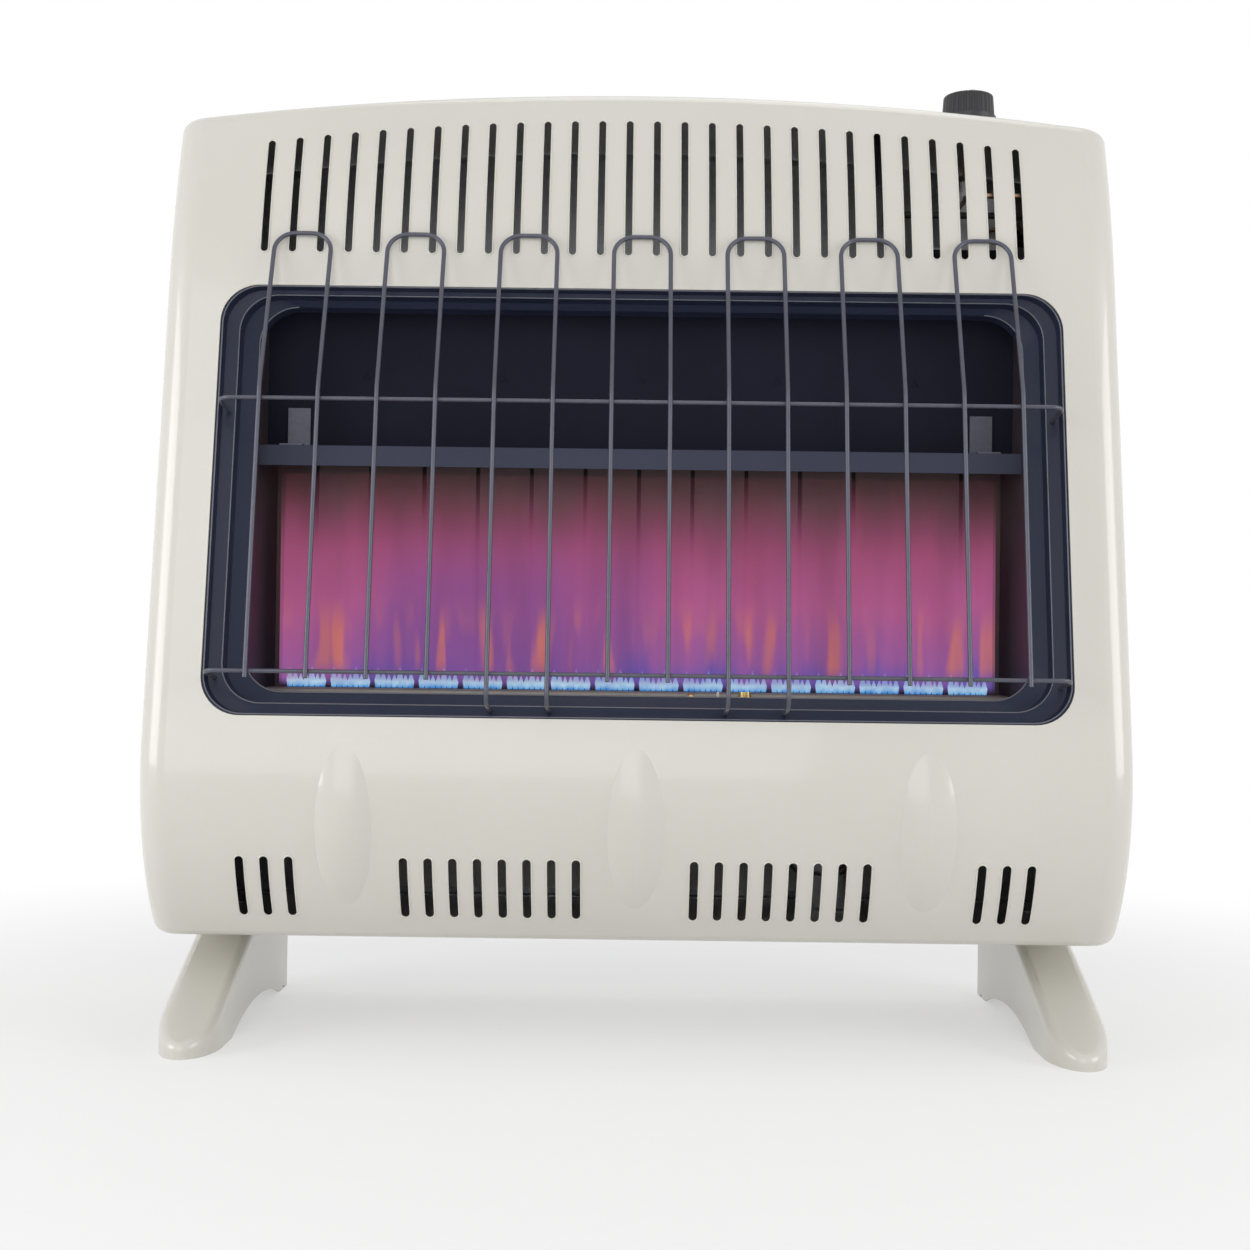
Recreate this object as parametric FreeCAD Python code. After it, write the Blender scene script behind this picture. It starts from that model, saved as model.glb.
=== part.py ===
"""Free-standing blue-flame gas heater, built from its separate pieces.

Millimetres, +Z up. The origin is on the floor under the middle of the overall box, the front faces -Y
and the viewer's right is +X. A setback is a distance behind the belly, the foremost line of the front panel.
"""
import FreeCAD
import Part
import math
import os

Vector = FreeCAD.Vector

# Cabinet
WIDTH = 700.0
SIDE_HEIGHT = 603.0
ARCH_RISE = 26.0
GROUND_GAP = 81.5
DEPTH = 258.0
SHEET = 1.2
FIT = 0.2
SEAM = 0.4

# Front panel profile: belly arc, leaning flat, shoulder arc
BELLY_RISE = 117.0
BELLY_RADIUS = 178.0
LEAN = 9.0
SHOULDER_RISE = 478.0
SHOULDER_RADIUS = 650.0
EDGE_RADIUS = 22.0
TOP_ROLL = 9.0
BOTTOM_ROLL = 12.0
PANEL_RETURN = 38.0
LAP = 15.0
FRONT_LAP = 8.0
TOP_SKIRT = 34.0

# Window in the front panel
WINDOW_SIDE_MARGIN = 44.0
WINDOW_BOTTOM_RISE = 160.0
WINDOW_HEIGHT = 316.0
WINDOW_CORNER = 28.0

# Air slots
UPPER_SLOT_SIDE_MARGIN = 62.0
UPPER_SLOT_PITCH = 20.5
UPPER_SLOT_WIDTH = 6.2
UPPER_SLOT_GAP = 21.0
UPPER_SLOT_TOP_MARGIN = 23.0
UPPER_SLOT_TOP_DROP = 20.0
LOWER_SLOT_WIDTH = 7.0
LOWER_SLOT_PITCH = 17.3
LOWER_SLOT_FOOT_RISE = 17.0
LOWER_SLOT_HEIGHT = 45.0
WIDE_GROUP_SLOTS = 8
WIDE_GROUP_CENTRE = 101.9
NARROW_GROUP_SLOTS = 3
NARROW_GROUP_INSET = 90.0

# Embossed flutes under the window
FLUTE_INSET = 146.0
FLUTE_SECTION_RADIUS = 42.0
FLUTE_STAND = 5.0
FLUTE_TOP_RISE = 140.0
FLUTE_FOOT_RISE = 26.0

# Window frame: visible face widths and depths of its steps
FRAME_FACE_SIDE = 24.0
FRAME_FACE_BOTTOM = 20.0
FRAME_FACE_TOP = 8.0
FRAME_FLANGE = 14.0
FRAME_SHEET = 1.0
FRAME_FIRST_STEP = 9.0
FRAME_SECOND_STEP = 20.0
FRAME_BACK_STEP = 25.0
FRAME_DEPTH = 36.0
FRAME_DRAFT = 1.5
FRAME_FIRST_FLAT_SHARE = 0.32

# Wire guard
GUARD_WIRE = 3.2
RAIL_WIRE = 3.0
GUARD_STANDOFF = 30.0
LEG_PITCH = 41.3
UPPER_RAIL_RISE = 384.0
LOWER_RAIL_RISE = 192.0
LOOP_TOP_RISE = 511.0
LOOP_CORNER = 15.0
LEG_TAIL = 3.5
GUARD_BEND = 40.0
RAIL_END_INSET = 8.0
RAIL_BEND = 9.0
HOOK_BEND = 9.0
HOOKED_PLACE = 1
WELD_GAP = 0.05

# Feet
FOOT_WIDTH = 44.0
FOOT_INSET = 10.0
FOOT_TOE = 10.0
FOOT_LENGTH = 275.0
FOOT_SHEET = 2.0
FOOT_NOSE_LENGTH = 42.0
FOOT_NOSE_HEIGHT = 10.0
FOOT_RAMP_END = 178.0
FOOT_RAMP_CROWN = 3.0
FOOT_EDGE_RADIUS = 7.0
FOOT_ARCH_FRONT = 80.0
FOOT_ARCH_REAR = 255.0
FOOT_ARCH_HEIGHT = 14.0
FOOT_NOTCH_RADIUS = 3.0

# Screws
SCREW_RADIUS = 2.0
SCREW_HEAD_RADIUS = 4.2
SCREW_HEAD_HEIGHT = 1.2
SCREW_LENGTH = 9.0
SCREW_RECESS_LENGTH = 5.0
SCREW_RECESS_WIDTH = 1.0
SCREW_HOLE_CLEARANCE = 0.15

# Firebox
FIREBOX_DEPTH = 150.0
FIREBOX_TOP_RISE = 500.0
RIB_PITCH = 42.0
RIB_GROOVE_WIDTH = 3.0
RIB_GROOVE_DEPTH = 1.4
BACK_PLATE = 3.0
FLOOR_DROP = 2.0
HOOD_BACK_GAP = 38.0
HOOD_LIP_STEP = 34.0
HOOD_LIP_BOTTOM_RISE = 343.0
HOOD_LIP_HEIGHT = 15.0
HOOD_BRACKET_WIDTH = 17.0
HOOD_BRACKET_HEIGHT = 32.0
HOOD_BRACKET_INSET = 24.0
SHIELD_BACK_GAP = 28.0
SHIELD_TOP_RISE = 470.0
SHIELD_FOOT_RISE = 12.0
SHIELD_WIDTH = 560.0

# Burner
BURNER_END_GAP = 5.2
BURNER_WIDTH = 30.0
BURNER_HEIGHT = 28.0
BURNER_WALL = 1.0
BURNER_BACK_GAP = 41.0
BURNER_TOP_RISE = 178.0
PORT_END_MARGIN = 10.0
PORT_GROUP_PITCH = 33.4
PORT_LENGTH = 27.0
PORT_WIDTH = 4.0
FLOOR_SLOT_CLEARANCE = 1.0
BRACKET_SHEET = 1.5
BRACKET_FOOT = 24.0

# Mixing tube under the burner
MIXER_X = -60.0
MIXER_LENGTH = 190.0
MIXER_DROP = 44.0
MIXER_RADIUS = 12.0
MIXER_WALL = 1.0
MIXER_BEND = 26.0
MOUTH_RADIUS = 17.0
MOUTH_LENGTH = 16.0
SHUTTER_LENGTH = 22.0
SHUTTER_WALL = 1.2
SHUTTER_WINDOW = 12.0
INJECTOR_HEX = 7.0
INJECTOR_HEX_LENGTH = 14.0
INJECTOR_NOSE_RADIUS = 4.0
INJECTOR_NOSE_LENGTH = 12.0

# Pilot assembly
PILOT_STEP = 30.0
PILOT_X = 60.0
PILOT_SPACING = 20.0
PILOT_HEIGHT = 22.0
PILOT_RADIUS = 4.0
PROBE_RADIUS = 3.0
ELECTRODE_RADIUS = 3.2
ELECTRODE_TIP_RADIUS = 1.0
PILOT_COLLAR_RADIUS = 6.0
PILOT_HEAD_RADIUS = 4.8
PILOT_JET_RADIUS = 1.3
PROBE_HEIGHT = 17.6
PROBE_COLLAR_RADIUS = 4.2
ELECTRODE_HEIGHT = 13.2
ELECTRODE_COLLAR_RADIUS = 4.5
COLLAR_HEIGHT = 7.0
PILOT_PLATE_DROP = 14.0
PILOT_MARGIN = 10.0

# Control valve, knob and igniter
CONTROL_INSET = 96.0
CONTROL_SETBACK = 146.0
VALVE_WIDTH = 50.0
VALVE_DEPTH = 40.0
VALVE_HEIGHT = 40.0
VALVE_FOOT_RISE = 522.0
VALVE_EDGE = 4.0
VALVE_PORT_INSET = 12.0
PLUG_RADIUS = 10.0
PLUG_HEIGHT = 24.0
PLUG_FLOOR = 12.0
BONNET_RADIUS = 16.0
BONNET_HEIGHT = 15.0
BONNET_CAP_HEIGHT = 5.0
BONNET_NECK_RADIUS = 9.6
SPINDLE_RADIUS = 4.0
TANG_WIDTH = 6.4
TANG_THICKNESS = 2.4
TANG_CLEARANCE = 0.15
RUNNING_FIT = 0.05
KNOB_RADIUS = 21.5
KNOB_HEIGHT = 21.0
KNOB_TRAVEL = 6.0
KNOB_CLEARANCE = 0.6
KNOB_SKIRT = 4.0
KNOB_TAPER = 1.2
KNOB_FLUTES = 30
KNOB_FLUTE_RADIUS = 1.3
KNOB_FLUTE_STAND = 0.4
KNOB_TOP_EDGE = 1.5
KNOB_CAVITY_WALL = 2.5
POINTER_LENGTH = 11.0
POINTER_WIDTH = 2.0
POINTER_HEIGHT = 0.6
SPINDLE_HOLE_CLEARANCE = 2.5
IGNITER_SPACING = 64.0
IGNITER_RADIUS = 10.0
IGNITER_LENGTH = 46.0
IGNITER_NECK_RADIUS = 8.0
IGNITER_NUT_RADIUS = 11.5
IGNITER_NUT_HEIGHT = 3.0
BUTTON_RADIUS = 6.0
BUTTON_STAND = 6.0
BUTTON_TRAVEL = 5.0
BUTTON_STEM = 10.0
BUTTON_CROWN = 1.2

# Gas train
REGULATOR_X = 150.0
REGULATOR_BACK_GAP = 68.0
REGULATOR_RADIUS = 31.0
REGULATOR_DEPTH = 24.0
REGULATOR_RISE = 56.0
CAP_RADIUS = 25.0
CAP_DEPTH = 13.0
CAP_EDGE = 4.3
TOWER_LENGTH = 23.4
TOWER_RADIUS = 8.3
SADDLE_WIDTH = 37.0
BOSS_RADIUS = 10.5
BOSS_LENGTH = 8.0
INLET_RADIUS = 8.5
INLET_BORE = 5.0
INLET_BARREL_STEP = 1.0
INLET_STAND = 25.0
INLET_HOLE_CLEARANCE = 3.0
HANGER_SPACING = 406.4
HANGER_RISE = 524.0
HANGER_WIDTH = 8.0
HANGER_LENGTH = 24.0
SUPPLY_RADIUS = 4.75
FEED_RADIUS = 4.0
PILOT_TUBE_RADIUS = 2.0
LEAD_RADIUS = 2.5
CAPILLARY_RADIUS = 1.5
TUBE_BEND = 16.0
NUT_RADIUS = 8.0
NUT_LENGTH = 12.0
LANE_WALL_GAP = 12.6
LEAD_LANE_GAP = 11.0
TUBE_LANE_GAP = 10.0
LANE_STEP = 15.0
PROBE_LANE_STEP = 12.0
LEAD_LANE_STEP = 20.0

# Derived places
lean = math.radians(LEAN)
half_width = WIDTH / 2
window_width = WIDTH - 2 * WINDOW_SIDE_MARGIN
upper_slots = math.floor((WIDTH - 2 * UPPER_SLOT_SIDE_MARGIN) / UPPER_SLOT_PITCH)
narrow_group_centre = half_width - NARROW_GROUP_INSET
flute_pitch = half_width - FLUTE_INSET
hairpins = math.floor(window_width / (2 * LEG_PITCH))
control_x = half_width - CONTROL_INSET
igniter_x = control_x - IGNITER_SPACING
shield_setback = DEPTH - SHIELD_BACK_GAP
regulator_setback = DEPTH - REGULATOR_BACK_GAP
inlet_end = DEPTH + INLET_STAND
hood_setback = FIREBOX_DEPTH - HOOD_BACK_GAP
hood_lip_setback = hood_setback - HOOD_LIP_STEP
burner_setback = FIREBOX_DEPTH - BURNER_BACK_GAP
pilot_setback = burner_setback - PILOT_STEP
underside = GROUND_GAP
end_top = GROUND_GAP + SIDE_HEIGHT
arch_radius = (half_width ** 2 + ARCH_RISE ** 2) / (2 * ARCH_RISE)
arch_centre = end_top + ARCH_RISE - arch_radius
belly_height = GROUND_GAP + BELLY_RISE
flat_start = belly_height + BELLY_RADIUS * math.sin(lean)
flat_setback = BELLY_RADIUS * (1 - math.cos(lean))
flat_length = (GROUND_GAP + SHOULDER_RISE - flat_start) / math.cos(lean)
window_foot_along = (GROUND_GAP + WINDOW_BOTTOM_RISE - flat_start) / math.cos(lean)
hook_along = window_foot_along + FRAME_FIRST_FLAT_SHARE * FRAME_FACE_BOTTOM
rail_along = (GROUND_GAP + LOWER_RAIL_RISE - flat_start - GUARD_STANDOFF * math.sin(lean)) / math.cos(lean)
leg_end_along = rail_along - RAIL_WIRE / 2 - LEG_TAIL
guard_reach = HOOK_BEND + GUARD_WIRE / 2 + (GUARD_STANDOFF - HOOK_BEND) * math.cos(lean)
guard_reach -= flat_setback + (hook_along + HOOK_BEND) * math.sin(lean)
foot_rear = FOOT_TOE + FOOT_LENGTH
belly_y = (guard_reach - foot_rear) / 2
rear_y = belly_y + DEPTH
base_inset = SHEET + FIT
base_top = underside + base_inset + SHEET
far = 4 * WIDTH


def at(setback):
    """Y of a point a given distance behind the belly."""
    return belly_y + setback


def box(x, y, z):
    """Box between pairs of limits along X, Y and Z."""
    size = (x[1] - x[0], y[1] - y[0], z[1] - z[0])
    return Part.makeBox(*size, Vector(x[0], y[0], z[0]))


def rod(radius, start, end):
    """Round bar between two points."""
    return Part.makeCylinder(radius, (end - start).Length, start, end - start)


def hexagon(radius, start, end):
    """Hexagonal bar between two points, given its across-flats radius."""
    axis = (end - start).normalize()
    side = axis.cross(Vector(0, 0, 1)) if abs(axis.z) < 0.9 else Vector(1, 0, 0)
    side.normalize()
    other = axis.cross(side)
    reach = radius / math.cos(math.pi / 6)
    corners = []
    for corner in range(7):
        angle = math.pi / 3 * corner
        corners.append(start + side * (reach * math.cos(angle)) + other * (reach * math.sin(angle)))
    return Part.Face(Part.makePolygon(corners)).extrude(end - start)


def rounded_path(points, bend):
    """Wire of straight runs joined by tangent arcs of one bend radius."""
    edges = []
    start = points[0]
    for before, corner, after in zip(points, points[1:], points[2:]):
        back = (before - corner).normalize()
        on = (after - corner).normalize()
        half_turn = (math.pi - back.getAngle(on)) / 2
        tangent = bend * math.tan(half_turn)
        middle = (back + on).normalize() * (bend / math.cos(half_turn) - bend)
        enter = corner + back * tangent
        leave = corner + on * tangent
        edges.append(Part.LineSegment(start, enter).toShape())
        edges.append(Part.Arc(enter, corner + middle, leave).toShape())
        start = leave
    edges.append(Part.LineSegment(start, points[-1]).toShape())
    return Part.Wire(edges)


def tube(points, radius, bend):
    """Solid round tube along a rounded path."""
    path = rounded_path(points, bend)
    section = Part.Wire(Part.makeCircle(radius, points[0], points[1] - points[0]))
    return path.makePipeShell([section], True, False)


def slot_prism(x, low, high, width):
    """Upright round-ended slot cutter that runs along Y through the front of the heater."""
    r = width / 2
    y = at(-DEPTH / 2)
    left_low, right_low = Vector(x - r, y, low + r), Vector(x + r, y, low + r)
    left_high, right_high = Vector(x - r, y, high - r), Vector(x + r, y, high - r)
    edges = [
        Part.Arc(left_low, Vector(x, y, low), right_low).toShape(),
        Part.LineSegment(right_low, right_high).toShape(),
        Part.Arc(right_high, Vector(x, y, high), left_high).toShape(),
        Part.LineSegment(left_high, left_low).toShape(),
    ]
    return Part.Face(Part.Wire(edges)).extrude(Vector(0, DEPTH, 0))


def rounded_rectangle(x, v, radius, w):
    """Rounded rectangle wire in the leaning plane's own coordinates."""
    turn = radius * (1 - math.cos(math.pi / 4))
    left, right = x
    low, high = v
    bottom_right = [(right - radius, low), (right - turn, low + turn), (right, low + radius)]
    top_right = [(right, high - radius), (right - turn, high - turn), (right - radius, high)]
    top_left = [(left + radius, high), (left + turn, high - turn), (left, high - radius)]
    bottom_left = [(left, low + radius), (left + turn, low + turn), (left + radius, low)]
    corners = []
    for corner in (bottom_right, top_right, top_left, bottom_left):
        corners.append([Vector(across, up, w) for across, up in corner])
    edges = []
    for corner, following in zip(corners, corners[1:] + corners[:1]):
        edges.append(Part.Arc(*corner).toShape())
        edges.append(Part.LineSegment(corner[-1], following[0]).toShape())
    return Part.Wire(edges)


# The leaning flat's own frame: X as the heater's, V up along the flat, W out of it
leaning = FreeCAD.Placement(
    FreeCAD.Matrix(
        1, 0, 0, 0,
        0, math.sin(lean), -math.cos(lean), at(flat_setback),
        0, math.cos(lean), math.sin(lean), flat_start,
        0, 0, 0, 1,
    )
)


def lean_point(x, v, w):
    """Heater point of a point given in the leaning flat's frame."""
    return leaning.multVec(Vector(x, v, w))


def along(height, w=0.0):
    """V coordinate of a height above the floor at a distance W out of the flat."""
    return (height - flat_start - w * math.sin(lean)) / math.cos(lean)


def arch_height(x, inset=0.0):
    """Height of the arched top at X, a distance inside its outer face."""
    return arch_centre + math.sqrt((arch_radius - inset) ** 2 - x ** 2)


def front_setback(height, inset=0.0):
    """Setback of the front panel's face at a height, a distance inside its outer face."""
    lower = flat_start - inset * math.sin(lean)
    upper = underside + SHOULDER_RISE - inset * math.sin(lean)
    shoulder = underside + SHOULDER_RISE - SHOULDER_RADIUS * math.sin(lean)
    shoulder_setback = flat_setback + flat_length * math.sin(lean) + SHOULDER_RADIUS * math.cos(lean)
    if height < lower:
        return BELLY_RADIUS - math.sqrt((BELLY_RADIUS - inset) ** 2 - (height - belly_height) ** 2)
    if height > upper:
        return shoulder_setback - math.sqrt((SHOULDER_RADIUS - inset) ** 2 - (height - shoulder) ** 2)
    return flat_setback + inset / math.cos(lean) + (height - flat_start) * math.tan(lean)


def front_curve(inset, shift, low, high):
    """Edges of the front profile from a low to a high level, moved back by a shift."""
    first = flat_start - inset * math.sin(lean)
    second = underside + SHOULDER_RISE - inset * math.sin(lean)

    def point(height):
        return Vector(0, at(front_setback(height, inset) + shift), height)

    return [
        Part.Arc(point(low), point((low + first) / 2), point(first)).toShape(),
        Part.LineSegment(point(first), point(second)).toShape(),
        Part.Arc(point(second), point((second + high) / 2), point(high)).toShape(),
    ]


def behind_front(inset, shift, back):
    """Slab across the whole width behind the front profile, as far back as a Y."""
    low, high = underside - BOTTOM_ROLL, end_top + 2 * ARCH_RISE
    curve = front_curve(inset, shift, low, high)
    foot = curve[0].Vertexes[0].Point
    head = curve[2].Vertexes[1].Point
    corners = [head, Vector(0, back, high), Vector(0, back, low), foot]
    edges = curve + [Part.LineSegment(a, b).toShape() for a, b in zip(corners, corners[1:])]
    face = Part.Face(Part.Wire(edges))
    face.translate(Vector(-WIDTH, 0, 0))
    return face.extrude(Vector(2 * WIDTH, 0, 0))


def cabinet_section(inset, y):
    """Front elevation of the cabinet, a distance inside its outer skin, as a face at a Y."""
    x = half_width - inset
    low = underside + inset
    high = arch_height(x, inset)
    corners = [Vector(-x, y, high), Vector(-x, y, low), Vector(x, y, low), Vector(x, y, high)]
    edges = [Part.LineSegment(a, b).toShape() for a, b in zip(corners, corners[1:])]
    crown = Vector(0, y, arch_height(0, inset))
    edges.append(Part.Arc(corners[3], crown, corners[0]).toShape())
    return Part.Face(Part.Wire(edges))


def cabinet_prism(inset, front, back):
    """Prism of the cabinet's elevation between two Y levels, with rolled top and bottom corners."""
    prism = cabinet_section(inset, front).extrude(Vector(0, back - front, 0))
    x = half_width - inset

    def corner_edges(level):
        return [
            edge for edge in prism.Edges
            if abs(abs(edge.CenterOfMass.x) - x) < FIT / 10 and abs(edge.CenterOfMass.z - level) < FIT / 10
        ]

    prism = prism.makeFillet(BOTTOM_ROLL - inset, corner_edges(underside + inset))
    return prism.makeFillet(TOP_ROLL - inset, corner_edges(arch_height(x, inset)))


def front_block(inset, depth):
    """Front panel's envelope a distance inside its outer face, with its edges rounded, and its flutes."""
    back = at(front_setback(end_top) + 2 * DEPTH)
    block = behind_front(inset, 0, back).cut(behind_front(0, DEPTH, back + DEPTH))
    x = half_width - inset
    y = at(-DEPTH)
    block = block.common(cabinet_section(inset, y).extrude(Vector(0, 3 * DEPTH, 0)))
    tolerance = FIT / 10

    def on_front(point):
        return abs(point.y - at(front_setback(point.z, inset))) < tolerance

    def at_rear(point):
        return abs(point.y - at(front_setback(point.z) + DEPTH)) < tolerance

    def middle(edge):
        return edge.valueAt((edge.FirstParameter + edge.LastParameter) / 2)

    uprights = [e for e in block.Edges if abs(abs(middle(e).x) - x) < tolerance and on_front(middle(e))]
    block = block.makeFillet(EDGE_RADIUS - inset, uprights)
    top = [
        e for e in block.Edges
        if abs(middle(e).z - arch_height(middle(e).x, inset)) < tolerance and not at_rear(middle(e))
    ]
    block = block.makeFillet(TOP_ROLL - inset, top)
    bottom = [
        e for e in block.Edges
        if abs(middle(e).z - underside - inset) < tolerance and not at_rear(middle(e))
    ]
    block = block.makeFillet(BOTTOM_ROLL - inset, bottom)
    block = block.cut(behind_front(0, depth, back + DEPTH))
    for place in (-1, 0, 1):
        block = block.fuse(flute(place * flute_pitch, inset))
    return block


def flute(x, inset):
    """Emboss shaped as the outside of a ring that stands out of the belly between two levels."""
    top = underside + FLUTE_TOP_RISE
    foot_level = underside + FLUTE_FOOT_RISE
    middle = (top + foot_level) / 2
    crest = Part.Arc(
        Vector(x, at(front_setback(foot_level)), foot_level),
        Vector(x, at(front_setback(middle) - FLUTE_STAND), middle),
        Vector(x, at(front_setback(top)), top),
    ).toShape().Curve
    ring_radius = crest.Radius - FLUTE_SECTION_RADIUS
    ring = Part.makeTorus(ring_radius, FLUTE_SECTION_RADIUS - inset, crest.Center, RIGHTWARD)
    span = (x - FLUTE_SECTION_RADIUS, x + FLUTE_SECTION_RADIUS)
    below = box(span, (at(-DEPTH), at(2 * DEPTH)), (foot_level - 2 * crest.Radius, foot_level))
    return ring.cut(behind_front(0, PANEL_RETURN / 2, at(2 * DEPTH))).cut(below)


def window_limits(share):
    """X and V limits and corner radius of the window drawn in by a share of the frame's face widths."""
    x = window_width / 2 - share * FRAME_FACE_SIDE
    low = along(underside + WINDOW_BOTTOM_RISE) + share * FRAME_FACE_BOTTOM
    high = along(underside + WINDOW_BOTTOM_RISE) + WINDOW_HEIGHT - share * FRAME_FACE_TOP
    return (-x, x), (low, high), WINDOW_CORNER


def grown(limits, growth):
    """Window limits with every side moved out."""
    x, v, radius = limits
    return (x[0] - growth, x[1] + growth), (v[0] - growth, v[1] + growth), radius + growth


def leaning_stack(sections):
    """Solid through rounded rectangles given as limits and a distance W, from front to back."""
    pieces = []
    for (front, front_w), (back, back_w) in zip(sections, sections[1:]):
        wires = [rounded_rectangle(*front, front_w), rounded_rectangle(*back, back_w)]
        pieces.append(Part.makeLoft(wires, True, True))
    solid = pieces[0].fuse(pieces[1:]).removeSplitter() if len(pieces) > 1 else pieces[0]
    solid.Placement = leaning
    return solid


def upper_slot_top(x):
    """Height of an upper slot's top: a curve a little rounder than the arch."""
    reach = UPPER_SLOT_PITCH * (upper_slots - 1) / 2
    return end_top + ARCH_RISE - UPPER_SLOT_TOP_MARGIN - UPPER_SLOT_TOP_DROP * (x / reach) ** 2


def air_slots():
    """Cutters of all the air slots in the front panel."""
    cutters = []
    for number in range(upper_slots):
        x = (number - (upper_slots - 1) / 2) * UPPER_SLOT_PITCH
        foot = underside + WINDOW_BOTTOM_RISE + WINDOW_HEIGHT + UPPER_SLOT_GAP
        cutters.append(slot_prism(x, foot, upper_slot_top(x), UPPER_SLOT_WIDTH))
    groups = ((WIDE_GROUP_CENTRE, WIDE_GROUP_SLOTS), (narrow_group_centre, NARROW_GROUP_SLOTS))
    for centre, count in groups:
        for side in (-1, 1):
            for number in range(count):
                x = side * centre + (number - (count - 1) / 2) * LOWER_SLOT_PITCH
                foot = underside + LOWER_SLOT_FOOT_RISE
                cutters.append(slot_prism(x, foot, foot + LOWER_SLOT_HEIGHT, LOWER_SLOT_WIDTH))
    return Part.makeCompound(cutters)


def screw(head_point, direction):
    """Low-headed screw whose head sits on a point and whose shank runs along a direction."""
    head = Part.makeCylinder(SCREW_HEAD_RADIUS, SCREW_HEAD_HEIGHT, Vector(), DOWN)
    body = head.fuse(Part.makeCylinder(SCREW_RADIUS, SCREW_LENGTH, Vector(), UP))
    arm = SCREW_RECESS_LENGTH / 2
    half = SCREW_RECESS_WIDTH / 2
    level = (-2 * SCREW_HEAD_HEIGHT, -SCREW_HEAD_HEIGHT / 2)
    cross = box((-arm, arm), (-half, half), level).fuse(box((-half, half), (-arm, arm), level))
    body = body.cut(cross)
    body.Placement = FreeCAD.Placement(head_point, FreeCAD.Rotation(UP, direction))
    return body


def screw_hole(head_point, direction):
    """Clearance hole for a screw, cut both ways from its head's seat."""
    start = head_point - direction * SCREW_LENGTH
    return Part.makeCylinder(SCREW_RADIUS + SCREW_HOLE_CLEARANCE, 3 * SCREW_LENGTH, start, direction)


UP = Vector(0, 0, 1)
DOWN = Vector(0, 0, -1)
REARWARD = Vector(0, 1, 0)
RIGHTWARD = Vector(1, 0, 0)

# Screw seats, as a point under the head and the direction of the shank
return_middle = front_setback(underside) + PANEL_RETURN - FRONT_LAP / 2
panel_screw_seats = []
for place in (-1.5, -0.5, 0.5, 1.5):
    panel_screw_seats.append((Vector(place * WIDTH / 4, at(return_middle), underside), UP))
foot_x = half_width - FOOT_INSET - FOOT_WIDTH / 2
flat_middle = (FOOT_RAMP_END + DEPTH - LAP) / 2
flat_half = (DEPTH - LAP - FOOT_RAMP_END) / 4
foot_screw_seats = []
for side in (-1, 1):
    for step in (-1, 1):
        seat = Vector(side * foot_x, at(flat_middle + step * flat_half), base_top)
        foot_screw_seats.append((seat, DOWN))
cabinet_screw_seats = []
for side in (-1, 1):
    for step in (1, 2, 3):
        seat = Vector(side * (half_width - base_inset), rear_y - LAP / 2, underside + SIDE_HEIGHT * step / 4)
        cabinet_screw_seats.append((seat, Vector(-side, 0, 0)))


def drill(shape, seats):
    """Shape with a clearance hole at each screw seat."""
    return shape.cut(Part.makeCompound([screw_hole(point, way) for point, way in seats]))


def screws(seats):
    """All the screws of a set of seats."""
    return Part.makeCompound([screw(point, way) for point, way in seats])


def front_panel():
    panel = front_block(0, PANEL_RETURN).cut(front_block(SHEET, PANEL_RETURN + LAP))
    opening = window_limits(0)
    panel = panel.cut(leaning_stack([(opening, EDGE_RADIUS), (opening, -EDGE_RADIUS)]))
    return drill(panel.cut(air_slots()), panel_screw_seats)


def sheet_sleeve(inset, front, back):
    """Tube of sheet with the cabinet's section, a distance inside its outer skin."""
    return cabinet_prism(inset, front, back).cut(cabinet_prism(inset + SHEET, front - LAP, back + LAP))


skirt_bottom = end_top - TOP_ROLL - TOP_SKIRT
control_y = at(CONTROL_SETBACK)


def axis_rod(radius, low, high, x=control_x):
    """Upright bar on the control or igniter axis."""
    return rod(radius, Vector(x, control_y, low), Vector(x, control_y, high))


def cabinet_wrap():
    sleeve = sheet_sleeve(base_inset, at(0), rear_y)
    wrap = sleeve.common(behind_front(0, PANEL_RETURN - FRONT_LAP, rear_y + LAP))
    wrap = wrap.cut(box((-far, far), (-far, far), (skirt_bottom + LAP, far)))
    return drill(drill(drill(wrap, panel_screw_seats), foot_screw_seats), cabinet_screw_seats)


def top_panel():
    sleeve = sheet_sleeve(0, at(0), rear_y)
    lid = sleeve.common(behind_front(0, PANEL_RETURN + SEAM, rear_y + LAP))
    lid = lid.cut(box((-far, far), (-far, far), (-far, skirt_bottom)))
    spindle_hole = SPINDLE_RADIUS + SPINDLE_HOLE_CLEARANCE
    lid = lid.cut(axis_rod(spindle_hole, skirt_bottom, far))
    return lid.cut(axis_rod(IGNITER_NECK_RADIUS + FIT, skirt_bottom, far, igniter_x))


rear_inset = base_inset + SHEET + FIT
regulator_height = underside + REGULATOR_RISE
inlet_start = regulator_setback + REGULATOR_DEPTH + BOSS_LENGTH


def inlet_hole(y, depth):
    """Clearance hole for the gas inlet through a sheet."""
    radius = INLET_RADIUS + INLET_HOLE_CLEARANCE
    start = Vector(REGULATOR_X, y, regulator_height)
    return rod(radius, start, start + REARWARD * depth)


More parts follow.
